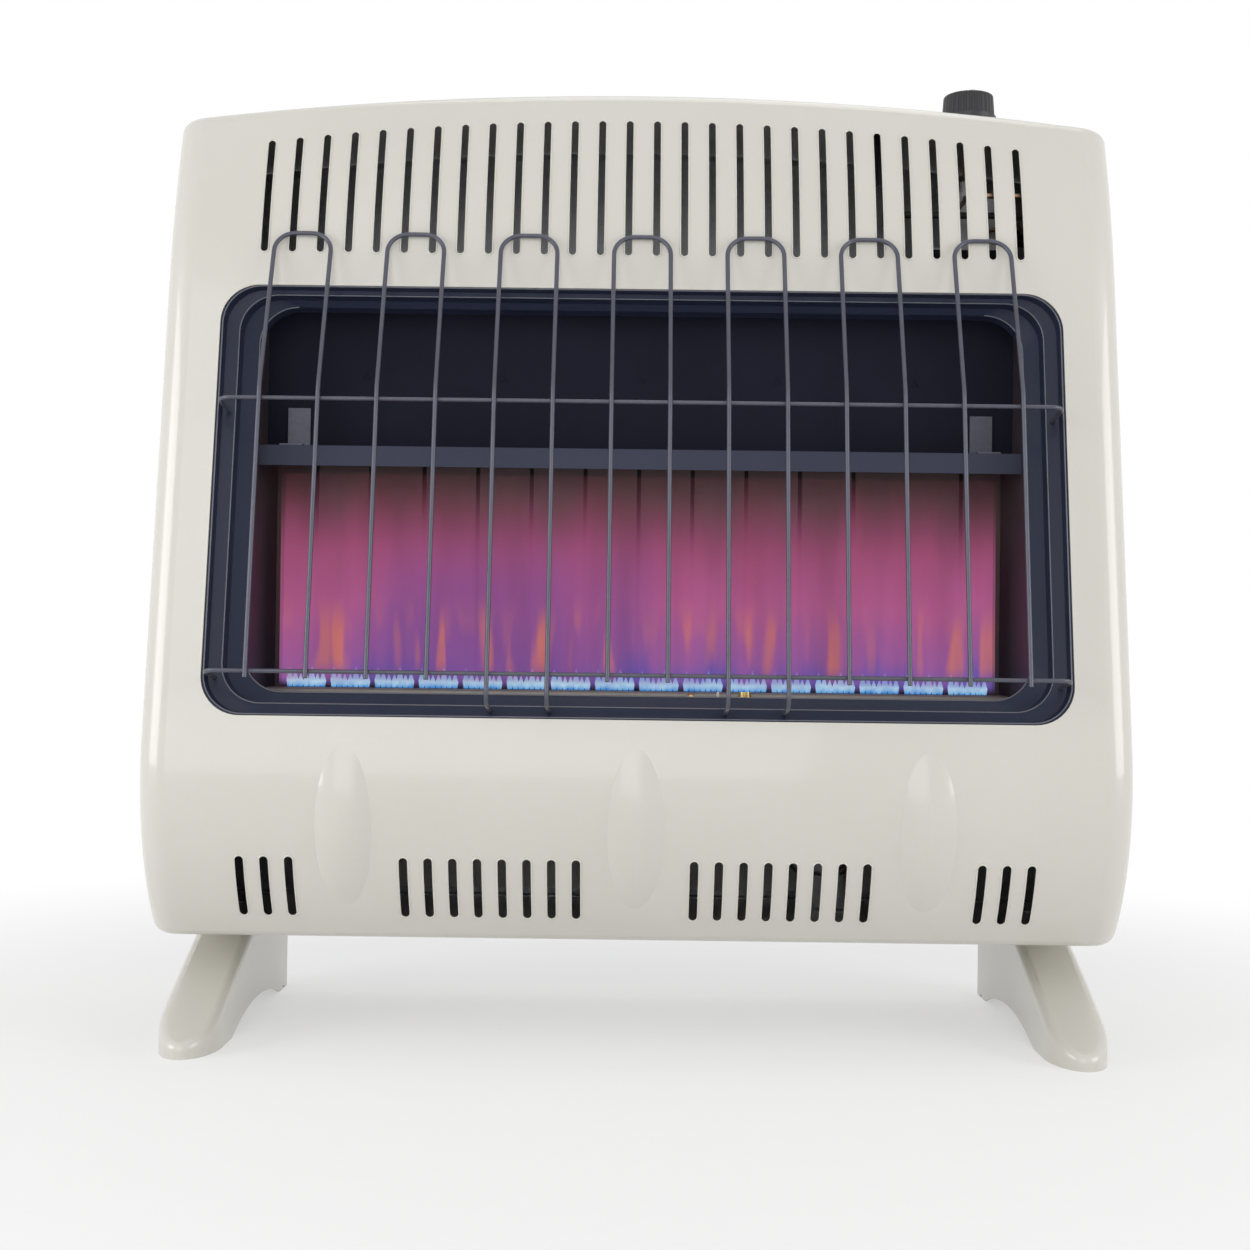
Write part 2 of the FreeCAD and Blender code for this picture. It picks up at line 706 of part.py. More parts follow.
def rear_panel():
    tray = cabinet_prism(rear_inset, rear_y - LAP, rear_y)
    tray = tray.cut(cabinet_prism(rear_inset + SHEET, rear_y - 2 * LAP, rear_y - SHEET))
    tray = tray.cut(inlet_hole(rear_y - LAP, 2 * LAP))
    for side in (-1, 1):
        r = HANGER_WIDTH / 2
        x = side * HANGER_SPACING / 2
        ends = (HANGER_LENGTH - HANGER_WIDTH) / 2
        z = underside + HANGER_RISE
        cut = box((x - ends, x + ends), (rear_y - LAP, rear_y + LAP), (z - r, z + r))
        for end in (-ends, ends):
            start = Vector(x + end, rear_y - LAP, z)
            cut = cut.fuse(rod(r, start, start + REARWARD * (2 * LAP)))
        tray = tray.cut(cut.removeSplitter())
    return drill(tray, cabinet_screw_seats)


def rear_shield():
    x = SHIELD_WIDTH / 2
    low, high = underside + SHIELD_FOOT_RISE, underside + SHIELD_TOP_RISE
    front, back = at(shield_setback), rear_y - SHEET
    shield = box((-x, x), (front, back), (low, high))
    shield = shield.cut(box((-x + SHEET, x - SHEET), (front + SHEET, back + LAP), (low - LAP, high + LAP)))
    return shield.cut(inlet_hole(front - LAP, 2 * LAP))


def window_frame():
    steps = [
        (FRAME_DRAFT / FRAME_FACE_SIDE, SHEET),
        (2 * FRAME_DRAFT / FRAME_FACE_SIDE, FRAME_FIRST_STEP),
        (0.5, FRAME_FIRST_STEP + FRAME_DRAFT),
        (0.5 + FRAME_DRAFT / FRAME_FACE_SIDE, FRAME_SECOND_STEP),
        (1.0, FRAME_BACK_STEP),
        (1.0, FRAME_DEPTH),
    ]
    hollow = [(window_limits(share), -depth) for share, depth in steps]
    skin = [(grown(window_limits(share), FRAME_SHEET), -depth - FRAME_SHEET) for share, depth in steps[:-1]]
    skin.append((grown(window_limits(1.0), FRAME_SHEET), -FRAME_DEPTH))
    hollow.insert(0, (window_limits(steps[0][0]), 0))
    hollow.append((window_limits(1.0), -FRAME_DEPTH - LAP))
    flange_w = -SHEET - FIT
    skin.insert(0, (grown(window_limits(steps[0][0]), FRAME_SHEET), flange_w))
    flange = grown(window_limits(0), FRAME_FLANGE)
    plate = leaning_stack([(flange, flange_w), (flange, flange_w - FRAME_SHEET)])
    return plate.fuse(leaning_stack(skin)).cut(leaning_stack(hollow)).removeSplitter()


# Guard wires, in the leaning flat's frame
frame_first_flat = -FRAME_FIRST_STEP - FRAME_DRAFT / 2
upper_rail_along = along(underside + UPPER_RAIL_RISE, GUARD_STANDOFF)
loop_w = GUARD_WIRE / 2 + FIT
loop_along = along(underside + LOOP_TOP_RISE, loop_w)
rail_w = GUARD_STANDOFF - GUARD_WIRE / 2 - RAIL_WIRE / 2 - WELD_GAP


def hairpin(centre, hooked):
    """Inverted U of wire: upright legs, a lean back to the panel and a rounded loop."""
    left, right = centre - LEG_PITCH / 2, centre + LEG_PITCH / 2
    bottom = [(leg_end_along, GUARD_STANDOFF)]
    if hooked:
        bottom = [(hook_along, frame_first_flat + 2 * FIT), (hook_along, GUARD_STANDOFF)]
    side = bottom + [(upper_rail_along + RAIL_BEND, GUARD_STANDOFF), (loop_along, loop_w)]
    points = [lean_point(left, v, w) for v, w in side]
    points += [lean_point(right, v, w) for v, w in reversed(side)]
    edges = []
    start = points[0]
    last = len(points) - 1
    for number in range(1, last):
        before, corner, after = points[number - 1], points[number], points[number + 1]
        bend = GUARD_BEND
        if number in (len(side) - 1, len(side)):
            bend = LOOP_CORNER
        if hooked and number in (1, last - 1):
            bend = HOOK_BEND
        piece = rounded_path([before, corner, after], bend).Edges
        edges.append(Part.LineSegment(start, piece[1].Vertexes[0].Point).toShape())
        edges.append(piece[1])
        start = piece[1].Vertexes[1].Point
    edges.append(Part.LineSegment(start, points[-1]).toShape())
    section = Part.Wire(Part.makeCircle(GUARD_WIRE / 2, points[0], points[1] - points[0]))
    return Part.Wire(edges).makePipeShell([section], True, False)


def guard_hairpins():
    wires = []
    for number in range(hairpins):
        place = number - (hairpins - 1) / 2
        wires.append(hairpin(place * 2 * LEG_PITCH, 0 < abs(place) <= HOOKED_PLACE))
    return Part.makeCompound(wires)


def guard_rail(v):
    x = window_width / 2 - RAIL_END_INSET
    end = frame_first_flat + 2 * FIT
    places = [(-x, end), (-x, rail_w), (x, rail_w), (x, end)]
    return tube([lean_point(px, v, w) for px, w in places], RAIL_WIRE / 2, RAIL_BEND)


foot_top = underside + base_inset


def foot_solid(side, wall):
    """One foot's outer form, or the hollow inside it at a wall thickness."""
    toe, rear = FOOT_TOE + wall, foot_rear - wall
    top = foot_top - wall
    low = -wall * LAP
    nose = FOOT_NOSE_HEIGHT - wall
    crown = (nose + top) / 2 + FOOT_RAMP_CROWN
    ramp = Part.Arc(
        Vector(0, at(toe), nose),
        Vector(0, at((toe + FOOT_RAMP_END) / 2), crown),
        Vector(0, at(FOOT_RAMP_END), top),
    )
    corners = [
        Vector(0, at(FOOT_RAMP_END), top), Vector(0, at(rear), top), Vector(0, at(rear), low),
        Vector(0, at(toe), low), Vector(0, at(toe), nose),
    ]
    edges = [ramp.toShape()] + [Part.LineSegment(a, b).toShape() for a, b in zip(corners, corners[1:])]
    body = Part.Face(Part.Wire(edges)).extrude(Vector(WIDTH, 0, 0))
    middle = side * foot_x
    body.translate(Vector(middle - half_width, 0, 0))
    half = FOOT_WIDTH / 2 - wall
    nose_root = Vector(middle, at(toe + FOOT_NOSE_LENGTH), low)
    bow = Part.Ellipse(nose_root - REARWARD * FOOT_NOSE_LENGTH, nose_root + RIGHTWARD * half, nose_root)
    upward = Vector(0, 0, top - low + LAP)
    plan = Part.Face(Part.Wire(bow.toShape())).extrude(upward)
    plan = plan.fuse(box((middle - half, middle + half), (nose_root.y, at(rear)), (low, low + upward.z)))
    body = body.common(plan.removeSplitter())
    rim = [
        e for e in body.Edges
        if e.BoundBox.ZMax > nose + FIT and e.BoundBox.ZMin > low + FIT
        and e.BoundBox.XLength < 2 * half - FIT and e.BoundBox.YLength > FIT
    ]
    return body.makeFillet(FOOT_EDGE_RADIUS - wall, rim)


def foot(side):
    body = foot_solid(side, 0).cut(foot_solid(side, FOOT_SHEET))
    rise = Vector(side * foot_x - FOOT_WIDTH, 0, 0)
    ends = (Vector(0, at(FOOT_ARCH_FRONT), 0), Vector(0, at(FOOT_ARCH_REAR), 0))
    middle = Vector(0, at((FOOT_ARCH_FRONT + FOOT_ARCH_REAR) / 2), FOOT_ARCH_HEIGHT)
    curve = Part.Arc(ends[0], middle, ends[1]).toShape()
    arch = Part.Wire([curve, Part.LineSegment(ends[1], ends[0]).toShape()])
    cutter = Part.Face(arch).extrude(Vector(2 * FOOT_WIDTH, 0, 0))
    cutter.translate(rise)
    notch = Vector(side * (foot_x - FOOT_WIDTH / 2), at((FOOT_ARCH_REAR + foot_rear) / 2), 0)
    reach = RIGHTWARD * (2 * FOOT_SHEET)
    notch = rod(FOOT_NOTCH_RADIUS, notch - reach, notch + reach)
    return drill(body.cut(cutter).cut(notch), foot_screw_seats)


# Firebox walls lap onto the back lip of the window frame
lip_x = window_limits(1.0)[0][1] + FRAME_SHEET + FIT
lip_low = window_limits(1.0)[1][0]
lip_bottom_point = lean_point(0, lip_low - FRAME_SHEET - FIT, -FRAME_DEPTH)
floor_top = lip_bottom_point.z - FLOOR_DROP
wall_front_w = -FRAME_BACK_STEP - 3 * FRAME_SHEET
back_front = at(FIREBOX_DEPTH)
firebox_top = underside + FIREBOX_TOP_RISE
burner_top = underside + BURNER_TOP_RISE
burner_bottom = burner_top - BURNER_HEIGHT
burner_y = at(burner_setback)
burner_length = 2 * (lip_x - BURNER_END_GAP)
port_groups = math.floor((burner_length - 2 * PORT_END_MARGIN) / PORT_GROUP_PITCH)
lane_inner_x = lip_x + SHEET + LANE_WALL_GAP
lane_middle_x = lane_inner_x + LEAD_LANE_GAP
lane_outer_x = lane_middle_x + TUBE_LANE_GAP


def behind_frame(w, back, low, high, x):
    """Block across X between a plane parallel to the flat, at a W, and a Y, between two heights."""
    def front(height):
        return lean_point(0, along(height, w), w).y

    corners = [
        Vector(x[0], front(low), low), Vector(x[0], back, low),
        Vector(x[0], back, high), Vector(x[0], front(high), high), Vector(x[0], front(low), low),
    ]
    return Part.Face(Part.makePolygon(corners)).extrude(Vector(x[1] - x[0], 0, 0))


def firebox_side(side):
    low, high = floor_top - LAP, firebox_top
    x = sorted((side * lip_x, side * (lip_x + SHEET)))
    return behind_frame(wall_front_w, back_front + BACK_PLATE + LAP, low, high, x)


def firebox_floor():
    x = lip_x - FIT
    plate = box((-x, x), (lip_bottom_point.y, back_front), (floor_top - SHEET, floor_top))
    for side in (-1, 1):
        edge = sorted((side * x, side * (x - SHEET)))
        plate = plate.fuse(box(edge, (lip_bottom_point.y, back_front), (floor_top - LAP, floor_top)))
    slot_x = burner_length / 2 + FLOOR_SLOT_CLEARANCE
    slot_y = BURNER_WIDTH / 2 + FLOOR_SLOT_CLEARANCE
    plate = plate.cut(box((-slot_x, slot_x), (burner_y - slot_y, burner_y + slot_y), (0, far)))
    pilot_row = at(pilot_setback)
    half_row = PILOT_SPACING + PILOT_MARGIN
    deep = 2 * PILOT_RADIUS
    cut = box((PILOT_X - half_row, PILOT_X + half_row), (pilot_row - deep, pilot_row + deep), (0, far))
    return plate.cut(cut).removeSplitter()


def firebox_back():
    x = lip_x - FIT
    plate = box((-x, x), (back_front, back_front + BACK_PLATE), (floor_top - LAP, firebox_top))
    grooves = []
    count = int(x / RIB_PITCH)
    for number in range(-count, count + 1):
        middle = number * RIB_PITCH
        limits = (middle - RIB_GROOVE_WIDTH / 2, middle + RIB_GROOVE_WIDTH / 2)
        grooves.append(box(limits, (back_front - LAP, back_front + RIB_GROOVE_DEPTH), (floor_top, far)))
    return plate.cut(Part.makeCompound(grooves))


hood_y = at(hood_setback)
hood_lip_y = at(hood_lip_setback)
hood_lip_bottom = underside + HOOD_LIP_BOTTOM_RISE
hood_shelf_top = hood_lip_bottom + HOOD_LIP_HEIGHT


def firebox_hood():
    x = lip_x - FIT
    across = (-x, x)
    lip = box(across, (hood_lip_y, hood_lip_y + SHEET), (hood_lip_bottom, hood_shelf_top))
    shelf = box(across, (hood_lip_y, hood_y + SHEET), (hood_shelf_top - SHEET, hood_shelf_top))
    plate = box(across, (hood_y, hood_y + SHEET), (hood_shelf_top - SHEET, firebox_top))
    return lip.fuse([shelf, plate]).removeSplitter()


def hood_brackets():
    pieces = []
    for side in (-1, 1):
        x = side * (lip_x - HOOD_BRACKET_INSET)
        across = (x - HOOD_BRACKET_WIDTH / 2, x + HOOD_BRACKET_WIDTH / 2)
        foot = box(across, (hood_lip_y + SHEET, hood_y), (hood_shelf_top, hood_shelf_top + SHEET))
        upright_y = (hood_y - SHEET, hood_y)
        upright = box(across, upright_y, (hood_shelf_top, hood_shelf_top + HOOD_BRACKET_HEIGHT))
        pieces.append(foot.fuse(upright).removeSplitter())
    return Part.makeCompound(pieces)


def burner_body():
    x, y = burner_length / 2, BURNER_WIDTH / 2
    wall = BURNER_WALL
    body = box((-x, x), (burner_y - y, burner_y + y), (burner_bottom, burner_top))
    body = body.makeFillet(3 * wall, [e for e in body.Edges if e.Length > burner_length - FIT])
    inside_y = (burner_y - y + wall, burner_y + y - wall)
    inside = box((-x + wall, x - wall), inside_y, (burner_bottom + wall, burner_top - wall))
    inside = inside.makeFillet(2 * wall, [e for e in inside.Edges if e.Length > burner_length - 3 * wall])
    body = body.cut(inside)
    ports = []
    for number in range(port_groups):
        middle = (number - (port_groups - 1) / 2) * PORT_GROUP_PITCH
        limits = (middle - PORT_LENGTH / 2, middle + PORT_LENGTH / 2)
        port_y = (burner_y - PORT_WIDTH / 2, burner_y + PORT_WIDTH / 2)
        ports.append(box(limits, port_y, (burner_top - 2 * wall, far)))
    neck_end = Vector(MIXER_X, burner_y, burner_bottom + 2 * wall)
    neck = rod(MIXER_RADIUS + FIT, neck_end - UP * BURNER_HEIGHT, neck_end)
    return body.cut(Part.makeCompound(ports + [neck]))


def burner_brackets():
    pieces = []
    y = (burner_y - BURNER_WIDTH / 2, burner_y + BURNER_WIDTH / 2)
    wall_x = lip_x - SHEET - 2 * FIT
    low = burner_bottom - BRACKET_SHEET
    for side in (-1, 1):
        foot_plate = box(sorted((side * wall_x, side * (wall_x - BRACKET_FOOT))), y, (low, burner_bottom))
        upright_x = sorted((side * wall_x, side * (wall_x - BRACKET_SHEET)))
        upright = box(upright_x, y, (low, floor_top - SHEET - FIT))
        pieces.append(foot_plate.fuse(upright).removeSplitter())
    return Part.makeCompound(pieces)


mixer_height = burner_bottom - MIXER_DROP
mixer_end_x = MIXER_X + MIXER_LENGTH
mixer_points = [
    Vector(MIXER_X, burner_y, burner_bottom + BURNER_WALL), Vector(MIXER_X, burner_y, mixer_height),
    Vector(mixer_end_x, burner_y, mixer_height),
]


def mixing_tube():
    mouth = mixer_points[2]
    outer = tube(mixer_points, MIXER_RADIUS, MIXER_BEND)
    outer = outer.fuse(Part.makeCone(MIXER_RADIUS, MOUTH_RADIUS, MOUTH_LENGTH, mouth, RIGHTWARD))
    bore = MIXER_RADIUS - MIXER_WALL
    inner_points = [mixer_points[0] + UP * MIXER_WALL, mixer_points[1], mixer_points[2]]
    inner = tube(inner_points, bore, MIXER_BEND)
    inner = inner.fuse(Part.makeCone(bore, MOUTH_RADIUS - MIXER_WALL, MOUTH_LENGTH, mouth, RIGHTWARD))
    return outer.cut(inner)


mouth_end = mixer_points[2] + RIGHTWARD * MOUTH_LENGTH
shutter_end = mouth_end + RIGHTWARD * SHUTTER_LENGTH


def air_shutter():
    start = mouth_end + RIGHTWARD * FIT
    sleeve = rod(MOUTH_RADIUS, start, shutter_end)
    sleeve = sleeve.cut(rod(MOUTH_RADIUS - SHUTTER_WALL, start - RIGHTWARD, shutter_end + RIGHTWARD))
    middle = (start + shutter_end) * 0.5
    half = SHUTTER_WINDOW / 2
    level = (middle.z - half, middle.z + half)
    across = box((middle.x - half, middle.x + half), (middle.y - far, middle.y + far), level)
    return sleeve.cut(across)


bracket_x = shutter_end.x + FIT
injector_hex_start = Vector(bracket_x + BRACKET_SHEET, burner_y, mixer_height)
injector_hex_end = injector_hex_start + RIGHTWARD * INJECTOR_HEX_LENGTH


def injector():
    tip = injector_hex_start - RIGHTWARD * INJECTOR_NOSE_LENGTH
    nose = rod(INJECTOR_NOSE_RADIUS, tip, injector_hex_start)
    return nose.fuse(hexagon(INJECTOR_HEX, injector_hex_start, injector_hex_end)).removeSplitter()


def injector_bracket():
    y = (burner_y - MOUTH_RADIUS, burner_y + MOUTH_RADIUS)
    high = floor_top - SHEET
    plate = box((bracket_x, bracket_x + BRACKET_SHEET), y, (mixer_height - MOUTH_RADIUS, high))
    slot_y = burner_y + BURNER_WIDTH / 2 + FLOOR_SLOT_CLEARANCE
    tab_y = (slot_y, slot_y + LAP)
    tab = box((bracket_x, bracket_x + LAP), tab_y, (high - BRACKET_SHEET, high))
    arm_z = (mixer_height - MOUTH_RADIUS, high)
    arm = box((bracket_x, bracket_x + BRACKET_SHEET), (y[0], slot_y + LAP), arm_z)
    relief_y = BURNER_WIDTH / 2 + FLOOR_SLOT_CLEARANCE
    relief_z = (burner_bottom - FIT, far)
    relief = box((bracket_x - LAP, bracket_x + LAP), (-far, burner_y + relief_y), relief_z)
    plate = plate.fuse([tab, arm]).cut(relief)
    hole = INJECTOR_NOSE_RADIUS + FIT
    hole = rod(hole, injector_hex_start - RIGHTWARD * LAP, injector_hex_start + RIGHTWARD * LAP)
    return plate.cut(hole).removeSplitter()


pilot_y = at(pilot_setback)
pilot_plate_top = floor_top - PILOT_PLATE_DROP
pilot_place = Vector(PILOT_X + PILOT_SPACING, pilot_y, pilot_plate_top)
electrode_place = Vector(PILOT_X, pilot_y, pilot_plate_top)
probe_place = Vector(PILOT_X - PILOT_SPACING, pilot_y, pilot_plate_top)


def pilot_bracket():
    half = PILOT_SPACING + PILOT_MARGIN
    deep = 2 * PILOT_RADIUS
    low = pilot_plate_top - BRACKET_SHEET
    y = (pilot_y - deep, pilot_y + deep)
    plate = box((PILOT_X - half, PILOT_X + half), y, (low, pilot_plate_top))
    for side in (-1, 1):
        x = PILOT_X + side * half
        upright = sorted((x, x - side * BRACKET_SHEET))
        plate = plate.fuse(box(upright, y, (low, floor_top - SHEET)))
        ear = sorted((x - side * BRACKET_SHEET, x + side * LAP))
        plate = plate.fuse(box(ear, y, (floor_top - SHEET - BRACKET_SHEET, floor_top - SHEET)))
    holes = []
    seats = ((pilot_place, PILOT_RADIUS), (electrode_place, ELECTRODE_RADIUS), (probe_place, PROBE_RADIUS))
    for place, radius in seats:
        holes.append(rod(radius + FIT / 2, place - UP * LAP, place + UP * LAP))
    return plate.cut(Part.makeCompound(holes)).removeSplitter()


def pilot_burner():
    body = rod(PILOT_RADIUS, pilot_place - UP * LAP / 2, pilot_place + UP * PILOT_HEIGHT)
    collar = hexagon(PILOT_COLLAR_RADIUS, pilot_place + UP * FIT, pilot_place + UP * COLLAR_HEIGHT)
    neck = pilot_place + UP * (PILOT_HEIGHT - PILOT_RADIUS)
    head = rod(PILOT_HEAD_RADIUS, neck, pilot_place + UP * PILOT_HEIGHT)
    jet = rod(PILOT_JET_RADIUS, neck, pilot_place + UP * far)
    return body.fuse([collar, head]).removeSplitter().cut(jet)


def thermocouple():
    tip = probe_place + UP * PROBE_HEIGHT
    body = rod(PROBE_RADIUS, probe_place - UP * LAP / 2, tip)
    collar = rod(PROBE_COLLAR_RADIUS, probe_place + UP * FIT, probe_place + UP * COLLAR_HEIGHT)
    return body.fuse([Part.makeSphere(PROBE_RADIUS, tip), collar]).removeSplitter()


def spark_electrode():
    top = electrode_place + UP * ELECTRODE_HEIGHT
    body = rod(ELECTRODE_RADIUS, electrode_place - UP * LAP / 2, top)
    collar_end = electrode_place + UP * COLLAR_HEIGHT
    collar = rod(ELECTRODE_COLLAR_RADIUS, electrode_place + UP * FIT, collar_end)
    wire = rod(ELECTRODE_TIP_RADIUS, top, electrode_place + UP * PILOT_HEIGHT)
    return body.fuse([collar, wire]).removeSplitter()


# Control valve under the knob
valve_bottom = underside + VALVE_FOOT_RISE
valve_top = valve_bottom + VALVE_HEIGHT
plug_bottom = valve_bottom + PLUG_FLOOR
plug_top = plug_bottom + PLUG_HEIGHT
bonnet_top = valve_top + BONNET_HEIGHT
knob_bottom = arch_height(control_x - KNOB_RADIUS) + KNOB_TRAVEL + KNOB_CLEARANCE
knob_top = knob_bottom + KNOB_HEIGHT
tang_bottom = plug_top - PLUG_HEIGHT / 2


def valve_body():
    x = (control_x - VALVE_WIDTH / 2, control_x + VALVE_WIDTH / 2)
    y = (control_y - VALVE_DEPTH / 2, control_y + VALVE_DEPTH / 2)
    body = box(x, y, (valve_bottom, valve_top))
    uprights = [e for e in body.Edges if abs(e.BoundBox.ZLength - VALVE_HEIGHT) < FIT]
    body = body.makeFillet(VALVE_EDGE, uprights)
    return body.cut(axis_rod(PLUG_RADIUS, plug_bottom - FIT, valve_top + FIT))


def tang_box(width, thickness, low, high):
    """Flat driving blade on the control axis."""
    return box(
        (control_x - width / 2, control_x + width / 2),
        (control_y - thickness / 2, control_y + thickness / 2), (low, high),
    )


def valve_plug():
    plug = axis_rod(PLUG_RADIUS - RUNNING_FIT, plug_bottom, plug_top)
    width = TANG_WIDTH + 2 * TANG_CLEARANCE
    thickness = TANG_THICKNESS + 2 * TANG_CLEARANCE
    return plug.cut(tang_box(width, thickness, tang_bottom - KNOB_TRAVEL - KNOB_CLEARANCE, far))


def valve_bonnet():
    cap = axis_rod(BONNET_RADIUS, valve_top, valve_top + BONNET_CAP_HEIGHT)
    neck = axis_rod(BONNET_NECK_RADIUS, valve_top, bonnet_top)
    return cap.fuse(neck).removeSplitter().cut(axis_rod(SPINDLE_RADIUS + RUNNING_FIT, 0, far))


knob_bore_top = knob_top - 2 * KNOB_CAVITY_WALL


def valve_spindle():
    shaft = axis_rod(SPINDLE_RADIUS, plug_top + KNOB_TRAVEL + KNOB_CLEARANCE, knob_bore_top - FIT)
    tang = tang_box(TANG_WIDTH, TANG_THICKNESS, tang_bottom, plug_top + 2 * KNOB_TRAVEL)
    return shaft.fuse(tang).removeSplitter()


def control_knob():
    skirt_top = knob_bottom + KNOB_SKIRT
    skirt = axis_rod(KNOB_RADIUS, knob_bottom, skirt_top)
    grip_radius = KNOB_RADIUS - KNOB_TAPER
    grip_foot = Vector(control_x, control_y, skirt_top)
    grip = Part.makeCone(grip_radius, grip_radius - KNOB_TAPER, knob_top - skirt_top, grip_foot, UP)
    grip = grip.makeFillet(KNOB_TOP_EDGE, [e for e in grip.Edges if e.BoundBox.ZMin > knob_top - FIT])
    flutes = []
    for number in range(KNOB_FLUTES):
        angle = 2 * math.pi * number / KNOB_FLUTES
        outward = Vector(math.cos(angle), math.sin(angle), 0)
        foot = grip_foot + outward * (grip_radius + KNOB_FLUTE_STAND)
        head = foot - outward * KNOB_TAPER + UP * (knob_top + FIT - skirt_top)
        flutes.append(rod(KNOB_FLUTE_RADIUS, foot, head))
    knob = skirt.fuse(grip.cut(Part.makeCompound(flutes)))
    cavity = axis_rod(KNOB_RADIUS - 2 * KNOB_CAVITY_WALL, knob_bottom - FIT, knob_bore_top)
    boss = axis_rod(2 * SPINDLE_RADIUS, knob_bottom, knob_top - KNOB_CAVITY_WALL)
    bore = axis_rod(SPINDLE_RADIUS + RUNNING_FIT, knob_bottom - FIT, knob_bore_top)
    return knob.cut(cavity.cut(boss)).cut(bore).removeSplitter()


def knob_pointer():
    reach = KNOB_RADIUS - 2 * KNOB_TAPER - KNOB_TOP_EDGE
    return box(
        (control_x - POINTER_WIDTH / 2, control_x + POINTER_WIDTH / 2),
        (control_y - reach, control_y - reach + POINTER_LENGTH), (knob_top, knob_top + POINTER_HEIGHT),
    )


bracket_right = lip_x + SHEET + FIT


def valve_bracket():
    left = control_x - VALVE_WIDTH / 2 - LAP / 3
    y = (control_y - VALVE_DEPTH / 2, control_y + VALVE_DEPTH / 2)
    shelf = box((left, bracket_right + BRACKET_SHEET), y, (valve_bottom - BRACKET_SHEET, valve_bottom))
    drop = box((bracket_right, bracket_right + BRACKET_SHEET), y, (firebox_top - 2 * LAP, valve_bottom))
    return shelf.fuse(drop).removeSplitter()


igniter_seat = arch_height(igniter_x - IGNITER_NUT_RADIUS) + FIT
igniter_shoulder = arch_height(igniter_x + IGNITER_RADIUS, SHEET) - FIT
nut_top = igniter_seat + IGNITER_NUT_HEIGHT
button_top = nut_top + BUTTON_STAND
button_bottom = nut_top - BUTTON_STEM


def igniter_body():
    body = axis_rod(IGNITER_RADIUS, igniter_shoulder - IGNITER_LENGTH, igniter_shoulder, igniter_x)
    neck = axis_rod(IGNITER_NECK_RADIUS, igniter_shoulder, nut_top, igniter_x)
    bore_bottom = button_bottom - BUTTON_TRAVEL - KNOB_CLEARANCE
    bore = axis_rod(BUTTON_RADIUS + RUNNING_FIT, bore_bottom, far, igniter_x)
    return body.fuse(neck).removeSplitter().cut(bore)


def igniter_nut():
    low, high = Vector(igniter_x, control_y, igniter_seat), Vector(igniter_x, control_y, nut_top)
    nut = hexagon(IGNITER_NUT_RADIUS * math.cos(math.pi / 6), low, high)
    return nut.cut(axis_rod(IGNITER_NECK_RADIUS + RUNNING_FIT, 0, far, igniter_x))


def igniter_button():
    button = axis_rod(BUTTON_RADIUS, button_bottom, button_top, igniter_x)
    return button.makeFillet(BUTTON_CROWN, [e for e in button.Edges if e.BoundBox.ZMin > button_top - FIT])


# Gas train from the inlet to the burner and the pilot
regulator_front = at(regulator_setback)
regulator_back = regulator_front + REGULATOR_DEPTH
regulator_centre = Vector(REGULATOR_X, regulator_front, regulator_height)


def regulator_body():
    body = rod(REGULATOR_RADIUS, regulator_centre, regulator_centre + REARWARD * REGULATOR_DEPTH)
    body = body.makeFillet(REGULATOR_DEPTH / 6, [e for e in body.Edges if e.Closed])
    rear = regulator_centre + REARWARD * (REGULATOR_DEPTH - FIT)
    boss = rod(BOSS_RADIUS, rear, rear + REARWARD * (BOSS_LENGTH + FIT))
    middle = regulator_centre + REARWARD * (REGULATOR_DEPTH / 2)
    outlet = rod(BOSS_RADIUS, middle, middle + RIGHTWARD * (REGULATOR_RADIUS + BOSS_LENGTH))
    return body.fuse([boss, outlet]).removeSplitter()


def regulator_cap():
    cap = rod(CAP_RADIUS, regulator_centre - REARWARD * CAP_DEPTH, regulator_centre)
    rim = [e for e in cap.Edges if e.BoundBox.YMax < regulator_front - FIT and e.Closed]
    cap = cap.makeFillet(CAP_EDGE, rim)
    tower_end = regulator_centre - REARWARD * TOWER_LENGTH
    tower = rod(TOWER_RADIUS, tower_end, regulator_centre - REARWARD * CAP_DEPTH / 2)
    return cap.fuse(tower).removeSplitter()


def regulator_bracket():
    x = (REGULATOR_X - SADDLE_WIDTH / 2, REGULATOR_X + SADDLE_WIDTH / 2)
    foot_plate = box(x, (regulator_front - LAP, regulator_back), (base_top, base_top + BRACKET_SHEET))
    saddle_z = (base_top, regulator_height - CAP_RADIUS - FIT)
    saddle = box(x, (regulator_front - BRACKET_SHEET, regulator_front), saddle_z)
    return foot_plate.fuse(saddle).removeSplitter()


def inlet_fitting():
    start = Vector(REGULATOR_X, at(inlet_start), regulator_height)
    end = Vector(REGULATOR_X, at(inlet_end), regulator_height)
    collar = hexagon(BOSS_RADIUS, start, start + REARWARD * BOSS_LENGTH)
    barrel_end = Vector(REGULATOR_X, rear_y + SHEET, regulator_height)
    barrel = rod(INLET_RADIUS + INLET_BARREL_STEP, start, barrel_end)
    body = rod(INLET_RADIUS, start, end).fuse([collar, barrel]).removeSplitter()
    return body.cut(rod(INLET_BORE, start + REARWARD * BOSS_LENGTH, end + REARWARD))


valve_right = control_x + VALVE_WIDTH / 2
feed_y = control_y - VALVE_DEPTH / 4
supply_y = control_y + VALVE_DEPTH / 4
port_height = valve_bottom + VALVE_HEIGHT / 3
regulator_outlet = Vector(
    REGULATOR_X + REGULATOR_RADIUS + BOSS_LENGTH, regulator_front + REGULATOR_DEPTH / 2, regulator_height
)


